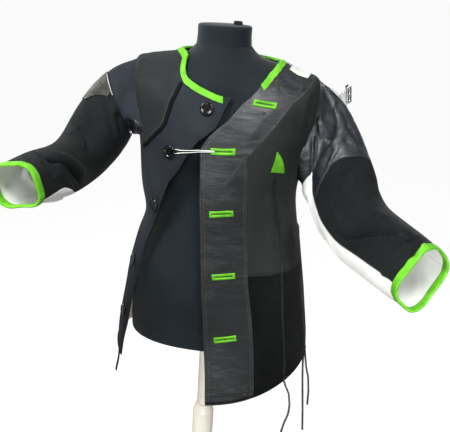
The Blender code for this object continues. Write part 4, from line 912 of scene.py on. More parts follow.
def add(tree, kind, inputs=None, **settings):
    """Adds a node: settings are its properties, and inputs its sockets, each a value or a node's output."""
    made = tree.nodes.new(kind)
    for key, value in settings.items():
        setattr(made, key, value)
    for key, value in (inputs or {}).items():
        if isinstance(value, bpy.types.NodeSocket):
            tree.links.new(value, made.inputs[key])
        else:
            made.inputs[key].default_value = value
    return made


def noise(tree, where, scale, detail=3.0, rough=0.55):
    """Soft random field of so many patches a metre, with finer ones added detail times."""
    inputs = {"Vector": where, "Scale": scale, "Detail": detail, "Roughness": rough}
    return add(tree, "ShaderNodeTexNoise", inputs, noise_type="FBM").outputs[0]


def ramp(tree, value, low, high, dark, light):
    """Value from low to high turned into a range from dark to light."""
    inputs = {"Value": value, "From Min": low, "From Max": high, "To Min": dark, "To Max": light}
    return add(tree, "ShaderNodeMapRange", inputs).outputs[0]


def finish(name, dark, light, roughness, relief, mottle=9.0, spread=0.08, **sockets):
    """A finish of two shades in soft patches, with uneven roughness and a relief of its own.

    relief gives (height field, depth in metres) pairs, deepest first. mottle is patches a metre.
    """
    made = bpy.data.materials.new(name)
    made.use_nodes = True
    tree = made.node_tree
    shader = next(n for n in tree.nodes if n.type == "BSDF_PRINCIPLED")
    where = add(tree, "ShaderNodeTexCoord").outputs["Object"]
    patches = ramp(tree, noise(tree, where, mottle, 5.0, 0.6), 0.35, 0.65, 0.0, 1.0)
    mix = add(tree, "ShaderNodeMix", {"Factor": patches}, data_type="RGBA")
    mix.inputs["A"].default_value = srgb(dark)
    mix.inputs["B"].default_value = srgb(light)
    tree.links.new(mix.outputs["Result"], shader.inputs["Base Color"])
    rubbed = noise(tree, where, mottle * 3.7, 4.0)
    wear = ramp(tree, rubbed, 0.3, 0.7, roughness - spread, roughness + spread)
    tree.links.new(wear, shader.inputs["Roughness"])
    below = {}
    for height, depth in relief(tree, where):
        inputs = {"Height": height, "Distance": depth, "Strength": 1.0, **below}
        below = {"Normal": add(tree, "ShaderNodeBump", inputs).outputs["Normal"]}
    tree.links.new(below["Normal"], shader.inputs["Normal"])
    for key, value in sockets.items():
        shader.inputs[key.replace("_", " ")].default_value = value
    return made


def hide_grain(wrinkle, grain=0.0002):
    """Leather: long soft creases, mostly across the piece, finer ones between, and a grain of small cells."""
    def relief(tree, where):
        flat = add(tree, "ShaderNodeMapping", {"Vector": where, "Scale": (0.8, 0.8, 1.9)}).outputs["Vector"]
        inputs = {"Vector": where, "Scale": 620.0}
        cells = add(tree, "ShaderNodeTexVoronoi", inputs, feature="DISTANCE_TO_EDGE").outputs["Distance"]
        # The larger scale along z brings the creases closer that way, so that they run across
        return [
            (noise(tree, flat, 15.0, 3.0, 0.45), wrinkle),
            (noise(tree, flat, 52.0, 4.0, 0.5), wrinkle * 0.28),
            (ramp(tree, cells, 0.0, 0.18, 0.0, 1.0), grain),
        ]
    return relief


def weave(repeat, depth, slub=0.0006):
    """Woven cloth: the product of two crossed sets of waves, on an uneven hand.

    At a scale of 1 the wave node has 10 / pi bands a metre, so a repeat holds 20 / pi threads.
    """
    def relief(tree, where):
        inputs = {"Vector": where, "Scale": 2 / repeat, "Distortion": 0.4, "Detail": 1.0}
        warp = add(tree, "ShaderNodeTexWave", inputs, bands_direction="Z").outputs[1]
        weft = add(tree, "ShaderNodeTexWave", inputs, bands_direction="DIAGONAL").outputs[1]
        crossed = add(tree, "ShaderNodeMath", {0: warp, 1: weft}, operation="MULTIPLY").outputs[0]
        return [(noise(tree, where, 38.0, 4.0, 0.6), slub), (crossed, depth)]
    return relief


def nap(depth, slub=0.0008):
    """Suede or brushed cloth: a fine uneven nap over a soft unevenness."""
    def relief(tree, where):
        return [(noise(tree, where, 30.0, 4.0, 0.6), slub), (noise(tree, where, 900.0, 2.0), depth)]
    return relief


def plain(depth):
    """Smooth finish: a faint unevenness alone."""
    def relief(tree, where):
        return [(noise(tree, where, 60.0, 2.0), depth)]
    return relief


# What finishes share: dull cloth with a faint sheen, and leather under a thin dressing. Threads lie 0.13 to
# 0.25 mm apart, finer than the picture's points, so a weave shows as a soft grain alone.
MATT = {"Specular_IOR_Level": 0.1, "Sheen_Weight": 0.02, "Sheen_Roughness": 0.5}
DRESSED = {"spread": 0.06, "Specular_IOR_Level": 0.45, "Coat_Weight": 0.1, "Coat_Roughness": 0.28}

# Grained cowhide, plated smooth: near black with a calm satin light along shallow creases
leather = finish("grained_leather", "0C0E10", "15181A", 0.34, hide_grain(0.0035), mottle=9, **DRESSED)
# The same hide under a wetter dressing, deeply creased: broken bluish highlights on the upper arm
shiny_leather = finish(
    "creased_shiny_leather", "0A0D12", "131920", 0.33, hide_grain(0.009), mottle=8, spread=0.06,
    Coat_Weight=0.18, Coat_Roughness=0.24,
)
# Pulled hide across the chest: greyer, with crossing creases that catch the window
upper_leather = finish(
    "creased_band_leather", "101214", "1D2124", 0.36, hide_grain(0.007), mottle=9, **DRESSED
)
# Worn patent on the sleeve's head: brown black, with a soft wide gloss
patch_leather = finish(
    "glossy_brown_patch", "131209", "1E1D15", 0.5, hide_grain(0.004), mottle=16, Specular_IOR_Level=0.3
)
# Brushed cotton canvas: charcoal, no highlight, a slight warm green in the light
canvas = finish("charcoal_canvas", "1F2221", "272B2A", 0.88, nap(0.00016), mottle=7, **MATT)
# Plain-woven canvas of the chest piece: charcoal with a soft even grain
yoke = finish("warm_charcoal_canvas", "1D2022", "272A29", 0.88, weave(0.0011, 0.00012), mottle=8, **MATT)
# Split suede: the blackest cloth, which swallows the light
suede = finish("black_suede", "070808", "0C0E0E", 0.94, nap(0.0002), mottle=18, **MATT)
# Close-woven cotton of the arms: black with a dry, even face
arm_cloth = finish("black_sleeve_cloth", "0C0F10", "141819", 0.85, weave(0.0012, 0.00014), mottle=9, **MATT)
# Yarn-dyed canvas of the right front: grey with a blue cast
navy = finish("navy_grey_canvas", "1B1E23", "252A2F", 0.84, weave(0.0012, 0.00012), mottle=7, **MATT)
# Twill tape: bright yellow green, the one strong colour
tape = finish(
    "bright_green_tape", "4A9412", "69B42C", 0.55, weave(0.0014, 0.0002, 0.0003), mottle=40,
    Specular_IOR_Level=0.2,
)
# Satin lining of the cuffs: grey white with soft broad shine
satin = finish("grey_white_lining", "E2E4E0", "F4F5F1", 0.5, weave(0.0012, 0.0001, 0.002), mottle=14)
# Bleached canvas of the strips under the arms: chalky and bright
white = finish("white_canvas", "ECEDE8", "FBFBF8", 0.75, weave(0.0012, 0.00015, 0.0014), mottle=12)
# Undyed cotton facing inside the right front: dull cream
cream_lining = finish("cream_facing", "C9C2B2", "DAD4C6", 0.8, weave(0.0012, 0.0001), mottle=10)
# Cotton lining given a near black colour as painted shade: the inside of the jacket is darkened so that it
# reads as shadow
painted_shade_lining = finish("painted_shade_lining", "141618", "1E2022", 0.85, weave(0.0012, 0.0001), mottle=10, **MATT)
# Polished moulded nylon of the buttons: sharp small highlights on black
plastic = finish("glossy_black_plastic", "050506", "090A0A", 0.13, plain(0.00005), mottle=30, spread=0.04)
# Nickel-plated steel of the slide: bright with blurred reflections
steel = finish("plated_steel", "C4C7C8", "DADCDC", 0.26, plain(0.00005), mottle=40, spread=0.06, Metallic=1.0)
# Polyester webbing: light grey ribs
webbing = finish("grey_webbing", "A6A9A8", "C6C8C6", 0.8, weave(0.0016, 0.0003), mottle=60)
# Braided polyester: dull black
cord = finish("black_cord", "121314", "1F2021", 0.78, weave(0.0012, 0.0003), mottle=60, **MATT)
# Flat cotton lace, rubbed pale: brown grey
lace_cloth = finish("worn_grey_lace", "3A3937", "5C5854", 0.85, weave(0.0012, 0.0003), mottle=30, **MATT)
# Covered rubber cord: off white with a slight shine
elastic = finish("pale_elastic", "C6C6C0", "E2E2DC", 0.6, weave(0.0008, 0.0001), mottle=60)
# Stretched knit over the form: blue black, with a rim of light where it turns away
jersey = finish(
    "dark_jersey", "0F1519", "171E23", 0.9, nap(0.00012, 0.0005), mottle=5,
    Specular_IOR_Level=0.15, Sheen_Weight=0.12, Sheen_Roughness=0.45,
)
# Sprayed lacquer on the stand: warm cream, satin
cream = finish("cream_lacquer", "EFE8D4", "F7F2E4", 0.36, plain(0.0001), mottle=5, spread=0.05)
# Polyester sewing threads: grey on the leather, black on the cloth, green on the tape
grey_thread = finish("grey_thread", "484B4D", "626567", 0.6, plain(0.00005), mottle=80)
black_thread = finish("black_thread", "08090A", "121314", 0.6, plain(0.00005), mottle=80, **MATT)
green_thread = finish("green_thread", "6FBF35", "86CF50", 0.55, plain(0.00005), mottle=80)
# Woven ribbon of the shoulder label, bare: flat grey green
label_cloth = finish(
    "plain_label_cloth", "B2B7AC", "C6CBC0", 0.8, weave(0.0009, 0.00008), mottle=30, Specular_IOR_Level=0.2
)
# Backdrop paper, lit from within so that it stays one even near white
paper = finish(
    "pale_floor", "747474", "767676", 0.95, plain(0.0), mottle=1,
    Specular_IOR_Level=0.0, Emission_Color=(1, 1, 1, 1), Emission_Strength=0.9,
)


def back_halves(surface):
    """The two halves of the back, from a centre seam to the side seams."""
    rows = row_span("back", NECK_ROW, HEM_ROW)
    half = BACK_COLUMNS // 2
    left = side_edge("left", rows, "back", left_side_seam)
    right = side_edge("right", rows, "back", right_side_seam) + 360
    centre = np.full(len(rows), 180.0)
    turns, grid = body_grid(rows, left, centre, half)
    rim = armhole_rims("left", "back", rows, half, 0)
    panel("back_left", surface, turns, grid, (canvas, painted_shade_lining), [rim])
    turns, grid = body_grid(rows, centre, right, half)
    rim = armhole_rims("right", "back", rows, half, half)
    panel("back_right", surface, turns, grid, (canvas, painted_shade_lining), [rim])


def leather_bands(surface):
    """The two leather bands of the left front, which meet at the cross seam."""
    rows = row_span("left", NECK_ROW, LEFT_UNDERARM_ROW)
    outer = np.where(rows <= CHEST_TOP_ROW, 90.0, line_read(LEATHER_SEAM, rows))
    outer = np.where(rows >= CROSS_SEAM_TOP_ROW, line_read(CROSS_SEAM, rows), outer)
    turns, grid = body_grid(rows, line_read(LEFT_FRONT_EDGE, rows), outer, BAND_COLUMNS)
    panel("front_left_leather_upper", surface, turns, grid, (upper_leather, painted_shade_lining))

    rows = row_span("left", CROSS_SEAM_TOP_ROW, HEM_ROW)
    above = rows <= LEFT_UNDERARM_ROW
    inner = np.where(above, line_read(CROSS_SEAM, rows), line_read(LEFT_FRONT_EDGE, rows))
    inner = np.where(rows <= CROSS_SEAM_TOP_ROW, line_read(LEATHER_SEAM, rows), inner)
    turns, grid = body_grid(rows, inner, line_read(LEATHER_SEAM, rows), 4 * FINER)
    panel("front_left_leather_lower", surface, turns, grid, (leather, painted_shade_lining))


def left_chest(surface):
    """The left chest panel, whole down to the dart and cut at the princess seam below it."""
    rows = row_span("left", CHEST_TOP_ROW, WAIST_SEAM_ROW)
    inner = line_read(LEATHER_SEAM, rows)
    outer = side_edge("left", rows, "front", left_side_seam)
    share = (line_read(PRINCESS_SEAM, DART_ROW) - inner) / (outer - inner + 1e-9)
    share = float(share[np.abs(rows - DART_ROW).argmin()])
    above = inner + (outer - inner) * share
    middle = np.where(rows >= DART_ROW - CLOSE, line_read(PRINCESS_SEAM, rows), above)
    chest, _ = body_grid(rows, inner, middle, CHEST_COLUMNS)
    side, _ = body_grid(rows, middle, outer, SIDE_COLUMNS)
    turns = np.concatenate([chest, side[:, 1:]], axis=1)
    grid = np.repeat(rows[:, None], turns.shape[1], axis=1)
    mask, vectors = armhole_rims("left", "front", rows, turns.shape[1] - 1, -1)
    on_chest = rows[mask[:, -1]] <= DART_ROW + CLOSE
    mask[rows > DART_ROW + CLOSE, -1] = False
    keep = np.ones((len(rows) - 1, turns.shape[1] - 1), bool)
    keep[rows[:-1] >= DART_ROW - CLOSE, CHEST_COLUMNS:] = False
    rims = [(mask, vectors[on_chest])]
    panel("front_left_chest", surface, turns, grid, (canvas, painted_shade_lining), rims, keep)


def left_skirt_and_side(surface):
    """The skirt beside the leather, and the side in two pieces that meet at the waist seam."""
    rows = row_span("left", WAIST_SEAM_ROW, HEM_ROW)
    princess = line_read(PRINCESS_SEAM, rows)
    turns, grid = body_grid(rows, line_read(LEATHER_SEAM, rows), princess, CHEST_COLUMNS)
    panel("front_left_skirt", surface, turns, grid, (suede, painted_shade_lining))

    rows = row_span("left", DART_ROW, WAIST_SEAM_ROW)
    outer = side_edge("left", rows, "front", left_side_seam)
    turns, grid = body_grid(rows, line_read(PRINCESS_SEAM, rows), outer, SIDE_COLUMNS)
    rim = armhole_rims("left", "front", rows, SIDE_COLUMNS, SIDE_COLUMNS)
    panel("side_left_upper", surface, turns, grid, (canvas, painted_shade_lining), [rim])

    rows = row_span("left", WAIST_SEAM_ROW, HEM_ROW)
    turns, grid = body_grid(rows, princess, left_side_seam(rows), SIDE_COLUMNS)
    panel("side_left_skirt", surface, turns, grid, (suede, painted_shade_lining))


def right_front(surface):
    """The right chest piece, and the front below and beside it as far as the front edge."""
    rows = row_span("right", NECK_ROW, YOKE_FOOT_ROW)
    outer = side_edge("right", rows, "front", right_side_seam)
    turns, grid = body_grid(rows, outer, line_read(ROLLED_EDGE, rows), YOKE_COLUMNS)
    rim = armhole_rims("right", "front", rows, YOKE_COLUMNS, 0)
    panel("front_right_chest", surface, turns, grid, (yoke, painted_shade_lining), [rim])

    rows = row_span("right", NECK_ROW, HEM_ROW)
    outer = np.where(rows <= YOKE_FOOT_ROW, line_read(ROLLED_EDGE, rows), right_side_seam(rows))
    inner = line_read(RIGHT_FRONT_EDGE, rows)
    turns = outer[:, None] + (inner - outer)[:, None] * FRONT_SHARES
    grid = np.repeat(rows[:, None], len(FRONT_SHARES), axis=1)
    panel("front_right", surface, turns, grid, (navy, cream_lining))


def cloth_body():
    """Every panel of the body, each a grid between its own seams."""
    # The inner faces of most body panels take the painted shade lining, a dark stand-in for the shadow inside
    # the jacket
    surface = worn("body")
    back_halves(surface)
    leather_bands(surface)
    left_chest(surface)
    left_skirt_and_side(surface)
    right_front(surface)


def sleeve_panel(node, side, span, places, finishes, top=None, bottom=None):
    """A sleeve piece between two angles. Its top and bottom edges may vary with the angle."""
    angles = stations_between(side, *span)
    places = finer(places, SLEEVE_FINER)
    share = ((places - places[0]) / (places[-1] - places[0]))[:, None]
    start = np.full(len(angles), places[0]) if top is None else top(angles)
    end = np.full(len(angles), places[-1]) if bottom is None else bottom(angles)
    along = start + (end - start) * share
    turns = np.repeat(angles[None, :], len(places), axis=0)
    rims = []
    if places[0] == 0:
        mask = np.zeros(turns.shape, bool)
        mask[0] = True
        rims = [(mask, armhole_rim(side, angles))]
    if node in ("sleeve_right_lower", "sleeve_right_under"):
        turns = strip_bulge(turns, along)
    sink = 0.0 if node == "sleeve_right_upper" else EDGE_SINK
    panel(node, worn(side), turns, along, finishes, rims, sink=sink)


def leather_sleeve_edge(angles):
    """Lower edge of the leather upper arm."""
    return line_read(LEATHER_SLEEVE_EDGE, angles)


def strip_bulge(angles, along):
    """Angles moved so that the right sleeve's pale strip swells towards the front where it shows.

    Two bells along the sleeve widen it and a flat one narrows it. Their sum fades out round the sleeve.
    """
    rise = 20 * np.exp(-(((along - 7.95) / 0.7) ** 2)) + 5 * np.exp(-(((along - 9.2) / 0.5) ** 2))
    rise = rise - 30 * np.exp(-(((along - 4.9) / 2.0) ** 4))
    past = np.where(angles < 250, angles + 360, angles)
    share = np.interp(past, [415, 491, 500, 558], [0, 1, 1, 0])
    return angles - rise * share


def cloth_sleeves():
    """Every panel of the two sleeves, and the glossy patch on the right one."""
    rest = (LEFT_STRIP[1], LEFT_STRIP[0] + 360)
    upper = [0, 0.3, 0.6, 1.0, 1.4, 1.8, 2.3, 2.8, LEATHER_END]
    lower = [LEATHER_END, 4.0, 4.6, 5.2, 6.0, 7.0, 8.0, 8.65, LEFT_CUFF]
    front, back = (LEFT_BACK_SEAM, rest[1]), (rest[0], LEFT_BACK_SEAM)
    seam = leather_sleeve_edge
    sleeve_panel("sleeve_left_leather", "left", rest, upper, (shiny_leather, satin), bottom=seam)
    sleeve_panel("sleeve_left_canvas", "left", front, lower, (arm_cloth, satin), top=seam)
    sleeve_panel("sleeve_left_canvas_back", "left", back, lower, (arm_cloth, satin), top=seam)
    sleeve_panel("sleeve_left_gusset", "left", LEFT_STRIP, upper[:5], (shiny_leather, satin))
    sleeve_panel("sleeve_left_under", "left", LEFT_STRIP, upper[4:] + lower[1:], (white, satin))

    armhole = [0, 0.3, 0.6, 1.0, CAP_END]
    forearm = [STRIP_START, 3.7, 4.2, 4.7, 5.2, 5.8, 6.6, 7.5, 8.5, 9.3, RIGHT_CUFF]
    rest = (RIGHT_STRIP[1], RIGHT_STRIP[0] + 360)
    sleeve_panel("sleeve_right_cap", "right", (229, 474), armhole, (navy, satin))
    sleeve_panel("sleeve_right_gusset", "right", (114, 229), armhole, (shiny_leather, satin))
    sleeve_panel("sleeve_right_upper", "right", (180, 540), UPPER_STATIONS, (arm_cloth, satin))
    sleeve_panel("sleeve_right_lower", "right", rest, forearm, (arm_cloth, satin))
    sleeve_panel("sleeve_right_under", "right", RIGHT_STRIP, forearm, (white, satin))

    angles = stations_between("right", -60, 60)
    bottom = np.minimum(PATCH_END, 1.75 + (69 - angles) / 45)
    places = finer([CAP_END + 0.08] + UPPER_STATIONS[1:-1] + [PATCH_END])
    along = np.minimum(places[:, None], bottom)
    turns = np.repeat(angles[None, :], len(along), axis=0)
    laid_piece("sleeve_right_patch", worn("right"), turns, along, 1.2 * MM, (patch_leather,), gap=1.0 * MM)


def laid_trim():
    """Dart insert with bowed sides, and the bare shoulder label, both laid on their panels."""
    down = finer(np.arange(3), 5)
    bow = down / 2 * (1 - down / 2)
    left, right = 39.2 - 0.6 * down + 1.6 * bow, 39.7 + 4.65 * down + 3.6 * bow
    turns, _ = body_grid(down, left, right, 10)
    top, low_left, low_right = 6.62, 7.2, 7.3
    share = (down / 2)[:, None]
    slope = np.linspace(0, 1, 11)[None, :]
    rows = top + share * (low_left + (low_right - low_left) * slope - top)
    laid_piece("dart_triangle", worn("body"), turns, rows, 1.4 * MM, (tape,), gap=0.9 * MM)
    turns, rows = np.meshgrid(finer([74, 78, 82, 86, 90], 5), np.linspace(3.92, 4.5, 21))
    laid_piece("shoulder_label", worn("body"), turns, rows, 1.0 * MM, (label_cloth,))


def sling_flap():
    """Pale webbing between the arm and the slide: straight lines from the nearest places of the arm.

    Each line runs from the arm to the slide's back and sags towards the front by a half sine wave.
    """
    centre = np.array(SLIDE_CENTRE)
    down, out = unit(np.array(SLIDE_DOWN)), unit(np.array(SLIDE_OUT))
    height = np.linspace(-17, 20, 15)[:, None] * MM
    far = centre + down * height * 0.86 - out * 4.5 * MM - [0, 8 * MM, 0]
    places = np.meshgrid(np.arange(-60, 40, 2.0), np.arange(0.2, 1.6, 0.03), indexing="ij")
    arm, arm_out = (side.reshape(-1, 3) for side in worn("left")(*places))
    way = arm[None] - (far + down * height * 0.3)[:, None]
    nearest = np.linalg.norm(way, axis=-1).argmin(axis=1)
    root = arm[nearest] + arm_out[nearest] * (WALL - 0.5 * MM)
    share = np.linspace(0, 1, 9)[None, :, None]
    points = root[:, None] * (1 - share) + far[:, None] * share
    points = points + np.array([0, -3 * MM, 0]) * np.sin(np.pi * share)
    normals = unit(np.cross(np.gradient(points, axis=1), np.gradient(points, axis=0)))
    half = normals * 0.7 * MM
    sections = np.concatenate([points + half, (points - half)[::-1]]).transpose(1, 0, 2)
    swept("sling_flap", sections, (webbing,))


def swept(name, sections, finishes, closed=False):
    """Surface through a row of closed sections. Unless the row closes on itself, a fan closes each end."""
    sections = np.asarray(sections, float)
    stations, sides = sections.shape[:2]
    spans = np.arange(stations if closed else stations - 1)
    i, k = np.meshgrid(spans, np.arange(sides), indexing="ij")
    j, m = (i + 1) % stations, (k + 1) % sides
    corners = [i * sides + k, i * sides + m, j * sides + m, j * sides + k]
    quads = np.stack(corners, axis=-1).reshape(-1, 4)
    faces = np.concatenate([quads[:, [0, 1, 2]], quads[:, [0, 2, 3]]])
    points = sections.reshape(-1, 3)
    if not closed:
        ends = np.stack([sections[0].mean(0), sections[-1].mean(0)])
        first, last = len(points), len(points) + 1
        ring = np.arange(sides)
        after, offset = (ring + 1) % sides, (stations - 1) * sides
        head = np.stack([np.full(sides, first), after, ring], 1)
        tail = np.stack([np.full(sides, last), ring + offset, after + offset], 1)
        faces, points = np.concatenate([faces, head, tail]), np.concatenate([points, ends])
    spot = points[faces]
    if (np.cross(spot[:, 0], spot[:, 1]) * spot[:, 2]).sum() < 0:
        faces = faces[:, ::-1]
    made = new_mesh(name, points, faces, finishes)
    made.data.set_sharp_from_angle(angle=SHARP_ANGLE)
    return made


def rounded(sections, times=3):
    """Closed sections with extra points along each side, smoothed twice so that their corners turn softly."""
    sides = sections.shape[1]
    places = np.arange(sides * times) / times
    base = places.astype(int)
    part = (places - base)[None, :, None]
    fine = sections[:, base] * (1 - part) + sections[:, (base + 1) % sides] * part
    for _ in range(2):
        fine = fine / 2 + (np.roll(fine, 1, axis=1) + np.roll(fine, -1, axis=1)) / 4
    return fine


def neck_tape_turns():
    """Turns of the neck tape's stations: from the right front's edge round the back to the left's."""
    fold = line_read(ROLLED_EDGE, NECK_ROW)
    edge = line_read(RIGHT_FRONT_EDGE, NECK_ROW)
    right = (fold + (edge - fold) * FRONT_SHARES[FRONT_SHARES < 0.86])[::-1]
    yoke_edge = np.linspace(fold, -90, YOKE_COLUMNS + 1)
    back = np.linspace(-90, -270, BACK_COLUMNS + 1)
    left = np.linspace(-270, line_read(LEFT_FRONT_EDGE, NECK_ROW) - 360, BAND_COLUMNS + 1)
    return np.concatenate([right, yoke_edge[1:], back[1:], left[1:]])


def puckered(sections, wave):
    """Sections drawn in and let out about their middles, each by its share in wave."""
    middle = sections.mean(axis=1, keepdims=True)
    return middle + (sections - middle) * (1 + wave)[:, None, None]


def bindings():
    """Bright tapes folded over the neckline and the cuffs, with small puckers along them."""
    turns = neck_tape_turns()
    edge = np.full(len(turns), NECK_ROW)
    sections = rounded(tape_sections(body_surface, turns, edge, 1, NECK_TAPE_REACH))
    wave = 0.02 * np.sin(np.arange(len(turns)) * 1.9)
    stand_for(swept("neck_tape", puckered(sections, wave), (tape,)), "neck_binding")
    for side, end in CUFF_ROW.items():
        angles = sleeve_stations(side)[:-1]
        edge = np.full(len(angles), end)
        sections = rounded(tape_sections(worn(side), angles, edge, -1, CUFF_TAPE_REACH))
        wave = 0.03 * np.sin(np.arange(len(angles)) * 2 * np.pi * 13 / len(angles))
        made = swept(f"cuff_tape_{side}", puckered(sections, wave), (tape,), closed=True)
        stand_for(made, f"cuff_binding_{side}")


def rolled_edge():
    """Soft black roll over the edge of the right chest piece: half an ellipse carried along it."""
    rows = finer(np.concatenate([[ROLL_TOP_ROW], coarse_rows("right", 4.0, RIGHT_UNDERARM_ROW)]), 5)
    turns = line_read(ROLLED_EDGE, rows)
    points, normals = worn("body")(turns, rows)
    across = unit(np.cross(normals, np.gradient(points, axis=0)))
    arc = np.radians(np.linspace(0, 180, 13))[:, None, None]
    swell = (1 + 0.08 * np.sin(rows * 9) + 0.05 * np.sin(rows * 23))[:, None]
    foot = points + normals * (WALL + LAID_GAP)
    rings = foot + normals * swell * ROLL_HEIGHT * np.sin(arc) + across * ROLL_HALF_WIDTH * np.cos(arc)
    made = swept("rolled_edge_of_chest", rings.transpose(1, 0, 2), (suede,))
    stand_for(made, "front_right_rolled_edge")


def turned(name, node, place, axis, profile, finishes, sides):
    """Turned piece: profile is (radius, height) pairs from the axis out and back to it, carried round it."""
    axis = unit(np.asarray(axis, float))
    side = unit(np.cross(axis, [0.31, 0.95, 0.1]))
    other = np.cross(axis, side)
    profile = np.asarray(profile, float)
    round_it = np.arange(sides) * 2 * np.pi / sides
    radial = side * np.cos(round_it)[:, None] + other * np.sin(round_it)[:, None]
    rings = np.asarray(place) + profile[1:-1, None, :1] * radial + profile[1:-1, None, 1:] * axis
    made = swept(name, rings, finishes)
    for end, (_, height) in enumerate((profile[0], profile[-1])):
        made.data.vertices[len(rings) * sides + end].co = np.asarray(place) + height * axis
    stand_for(made, node)


def soft_corners(profile, reach):
    """A profile with each corner cut by a short arc: two points a reach away from it, and one between."""
    profile = np.asarray(profile, float)
    out = [profile[0]]
    for before, here, after in zip(profile[:-2], profile[1:-1], profile[2:]):
        ways = [before - here, after - here]
        steps = [here + way * min(reach / np.linalg.norm(way), 0.45) for way in ways]
        out += [steps[0], (steps[0] + steps[1] + 2 * here) / 4, steps[1]]
    return np.array(out + [profile[-1]])


def buttons():
    """Dished glossy buttons: a turned profile with a rounded rim and a hollow face."""
    top = SHANK_HEIGHT + BUTTON_THICK
    profile = [
        (0, 0), (SHANK_RADIUS, 0), (SHANK_RADIUS, SHANK_HEIGHT), (BUTTON_RADIUS * 0.9, SHANK_HEIGHT),
        (BUTTON_RADIUS, SHANK_HEIGHT + BUTTON_THICK * 0.45), (BUTTON_RADIUS * 0.88, top),
        (BUTTON_RADIUS * 0.74, top - 0.3 * MM), (BUTTON_RADIUS * 0.62, top - 1.4 * MM),
        (BUTTON_RADIUS * 0.3, top - 1.7 * MM), (0, top - 1.2 * MM),
    ]
    for number, ((turn, row), sink) in enumerate(zip(BUTTON_PLACES, BUTTON_SINK), start=1):
        point, normal = body_surface(turn, row)
        place = point + normal * (WALL + SEAM_GAP - sink * MM)
        node = f"button_{number}"
        turned(f"{node}_dished", node, place, normal, soft_corners(profile, 0.6 * MM), (plastic,), 48)


def buttonholes():
    """Two padded green lips round each slot: rectangles that shrink to the slot as they rise and fall."""
    half_length, half_width = WELT_LENGTH / 2, WELT_WIDTH / 2
    share, short = np.linspace(0, 1, 14, endpoint=False), np.linspace(-1, 1, 6, endpoint=False)
    across = np.concatenate([-1 + 2 * share, np.ones(6), 1 - 2 * share, -np.ones(6)])
    down = np.concatenate([-np.ones(14), short, np.ones(14), -short])
    for number, (turn, row, tilt) in enumerate(HOLE_PLACES, start=1):
        rings = []
        for reach, lift in LIP_SECTION:
            wide = half_length - half_width * (1 - reach)
            turns, rows = on_body(turn, row, tilt, across * wide, down * half_width * reach)
            points, normals = worn("body")(turns, rows)
            rings.append(points + normals * (WALL + LAID_GAP + lift * MM))
        made = swept(f"welt_{number}", np.stack(rings, axis=1), (tape,), closed=True)
        stand_for(made, f"buttonhole_{number}")


def cord_piece(name, node, route, across, thick, sides, finishes, far_end, lay):
    """A cord: an ellipse, across by thick, carried along its route at right angles to it."""
    ahead = unit(np.gradient(route, axis=0))
    side = unit(np.cross(ahead, [0.2, 1.0, 0.1]))
    out = np.cross(side, ahead)
    round_it = (np.arange(sides) * 2 * np.pi / sides)[None, :, None]
    ellipse = side[:, None] * across * np.cos(round_it) + out[:, None] * thick * np.sin(round_it)
    made = swept(name, route[:, None] + ellipse, finishes)
    stand_for(made, node)


def cords():
    """Flat laces and the button loop, along the same routes as their solids."""
    for name, (turn, drop, steps) in LACE_ROUTES.items():
        point, normal = body_surface(turn, HEM_ROW)
        start = point + normal * WALL / 2 - np.array([0, 0, drop * MM])
        route = even_points(start + np.array(steps, float) * MM, 2.5 * LACE_RADIUS)
        flat = (LACE_RADIUS * 1.3, LACE_RADIUS * 0.5)
        cord_piece(f"{name}_flat", name, route, *flat, 12, (lace_cloth,), "bare", "hanging")
    thin = (LOOP_RADIUS, LOOP_RADIUS)
    cord_piece("loop_elastic", "button_loop", loop_route(), *thin, 10, (elastic,), "object", "taut")


def dress_form():
    """The padded form through its rings, and its neck through rings that narrow to a flat top."""
    turns = np.arange(96) * 3.75
    rings = finer(np.arange(FORM_LAST + 1), 8)
    points, _ = worn("form")(*np.meshgrid(turns, rings))
    stand_for(swept("form_body_padding", points, (jersey,)), "form_body")
    foot = form_point(turns, 0) + [0, 0, SEAM_GAP]
    waist = foot * [0.975, 0.975, 0] + [0, 0, NECK_WAIST]
    shoulder = waist * [1, 1, 0] + [0, 0, NECK_TOP - 4 * MM]
    top = waist * [0.93, 0.93, 0] + [0, 0, NECK_TOP]
    bevel = shoulder + (top - shoulder) * [0.3, 0.3, 0.7]
    share = np.linspace(0, 1, 5)[:, None, None]
    rings = [foot + (waist - foot) * share, waist + (shoulder - waist) * share[1:], bevel[None], top[None]]
    stand_for(swept("form_neck_padding", np.concatenate(rings), (jersey,)), "form_neck")


def turned_stand():
    """The knob on the neck, the pole, the tube that holds it and the round base, all turned."""
    upright = (0, 0, 1)
    rim = 2 * MM
    knob = [
        (0, 0), (KNOB_RADIUS, 0), (KNOB_RADIUS, KNOB_HEIGHT - rim), (KNOB_RADIUS - rim, KNOB_HEIGHT),
        (0, KNOB_HEIGHT),
    ]
    place = (*KNOB_PLACE, NECK_TOP + SEAM_GAP)
    turned("form_knob_cap", "form_knob", place, upright, soft_corners(knob, 1 * MM), (jersey,), 32)
    top, low = FORM_RINGS[-1][1] * MM - SEAM_GAP, COLLAR_TOP + SEAM_GAP
    foot = BOSS_TOP + SEAM_GAP
    profiles = {
        "pole_upper": [(0, low), (POLE_RADIUS, low), (POLE_RADIUS, top), (0, top)],
        "pole_lower": [
            (0, foot), (TUBE_RADIUS, foot), (TUBE_RADIUS, COLLAR_FOOT), (POLE_RADIUS + 3 * MM, COLLAR_TOP),
            (0, COLLAR_TOP),
        ],
        "base": [
            (0, 0), (BASE_RADIUS - rim, 0), (BASE_RADIUS, rim), (BASE_RADIUS, BASE_THICK - 4 * MM),
            (BASE_RADIUS - 6 * MM, BASE_THICK), (BOSS_RADIUS + 6 * MM, BASE_THICK + 1 * MM),
            (BOSS_RADIUS, BOSS_TOP), (0, BOSS_TOP),
        ],
    }
    for node, profile in profiles.items():
        turned(f"{node}_turned", node, (0, 0, 0), upright, soft_corners(profile, 0.8 * MM), (cream,), 72)


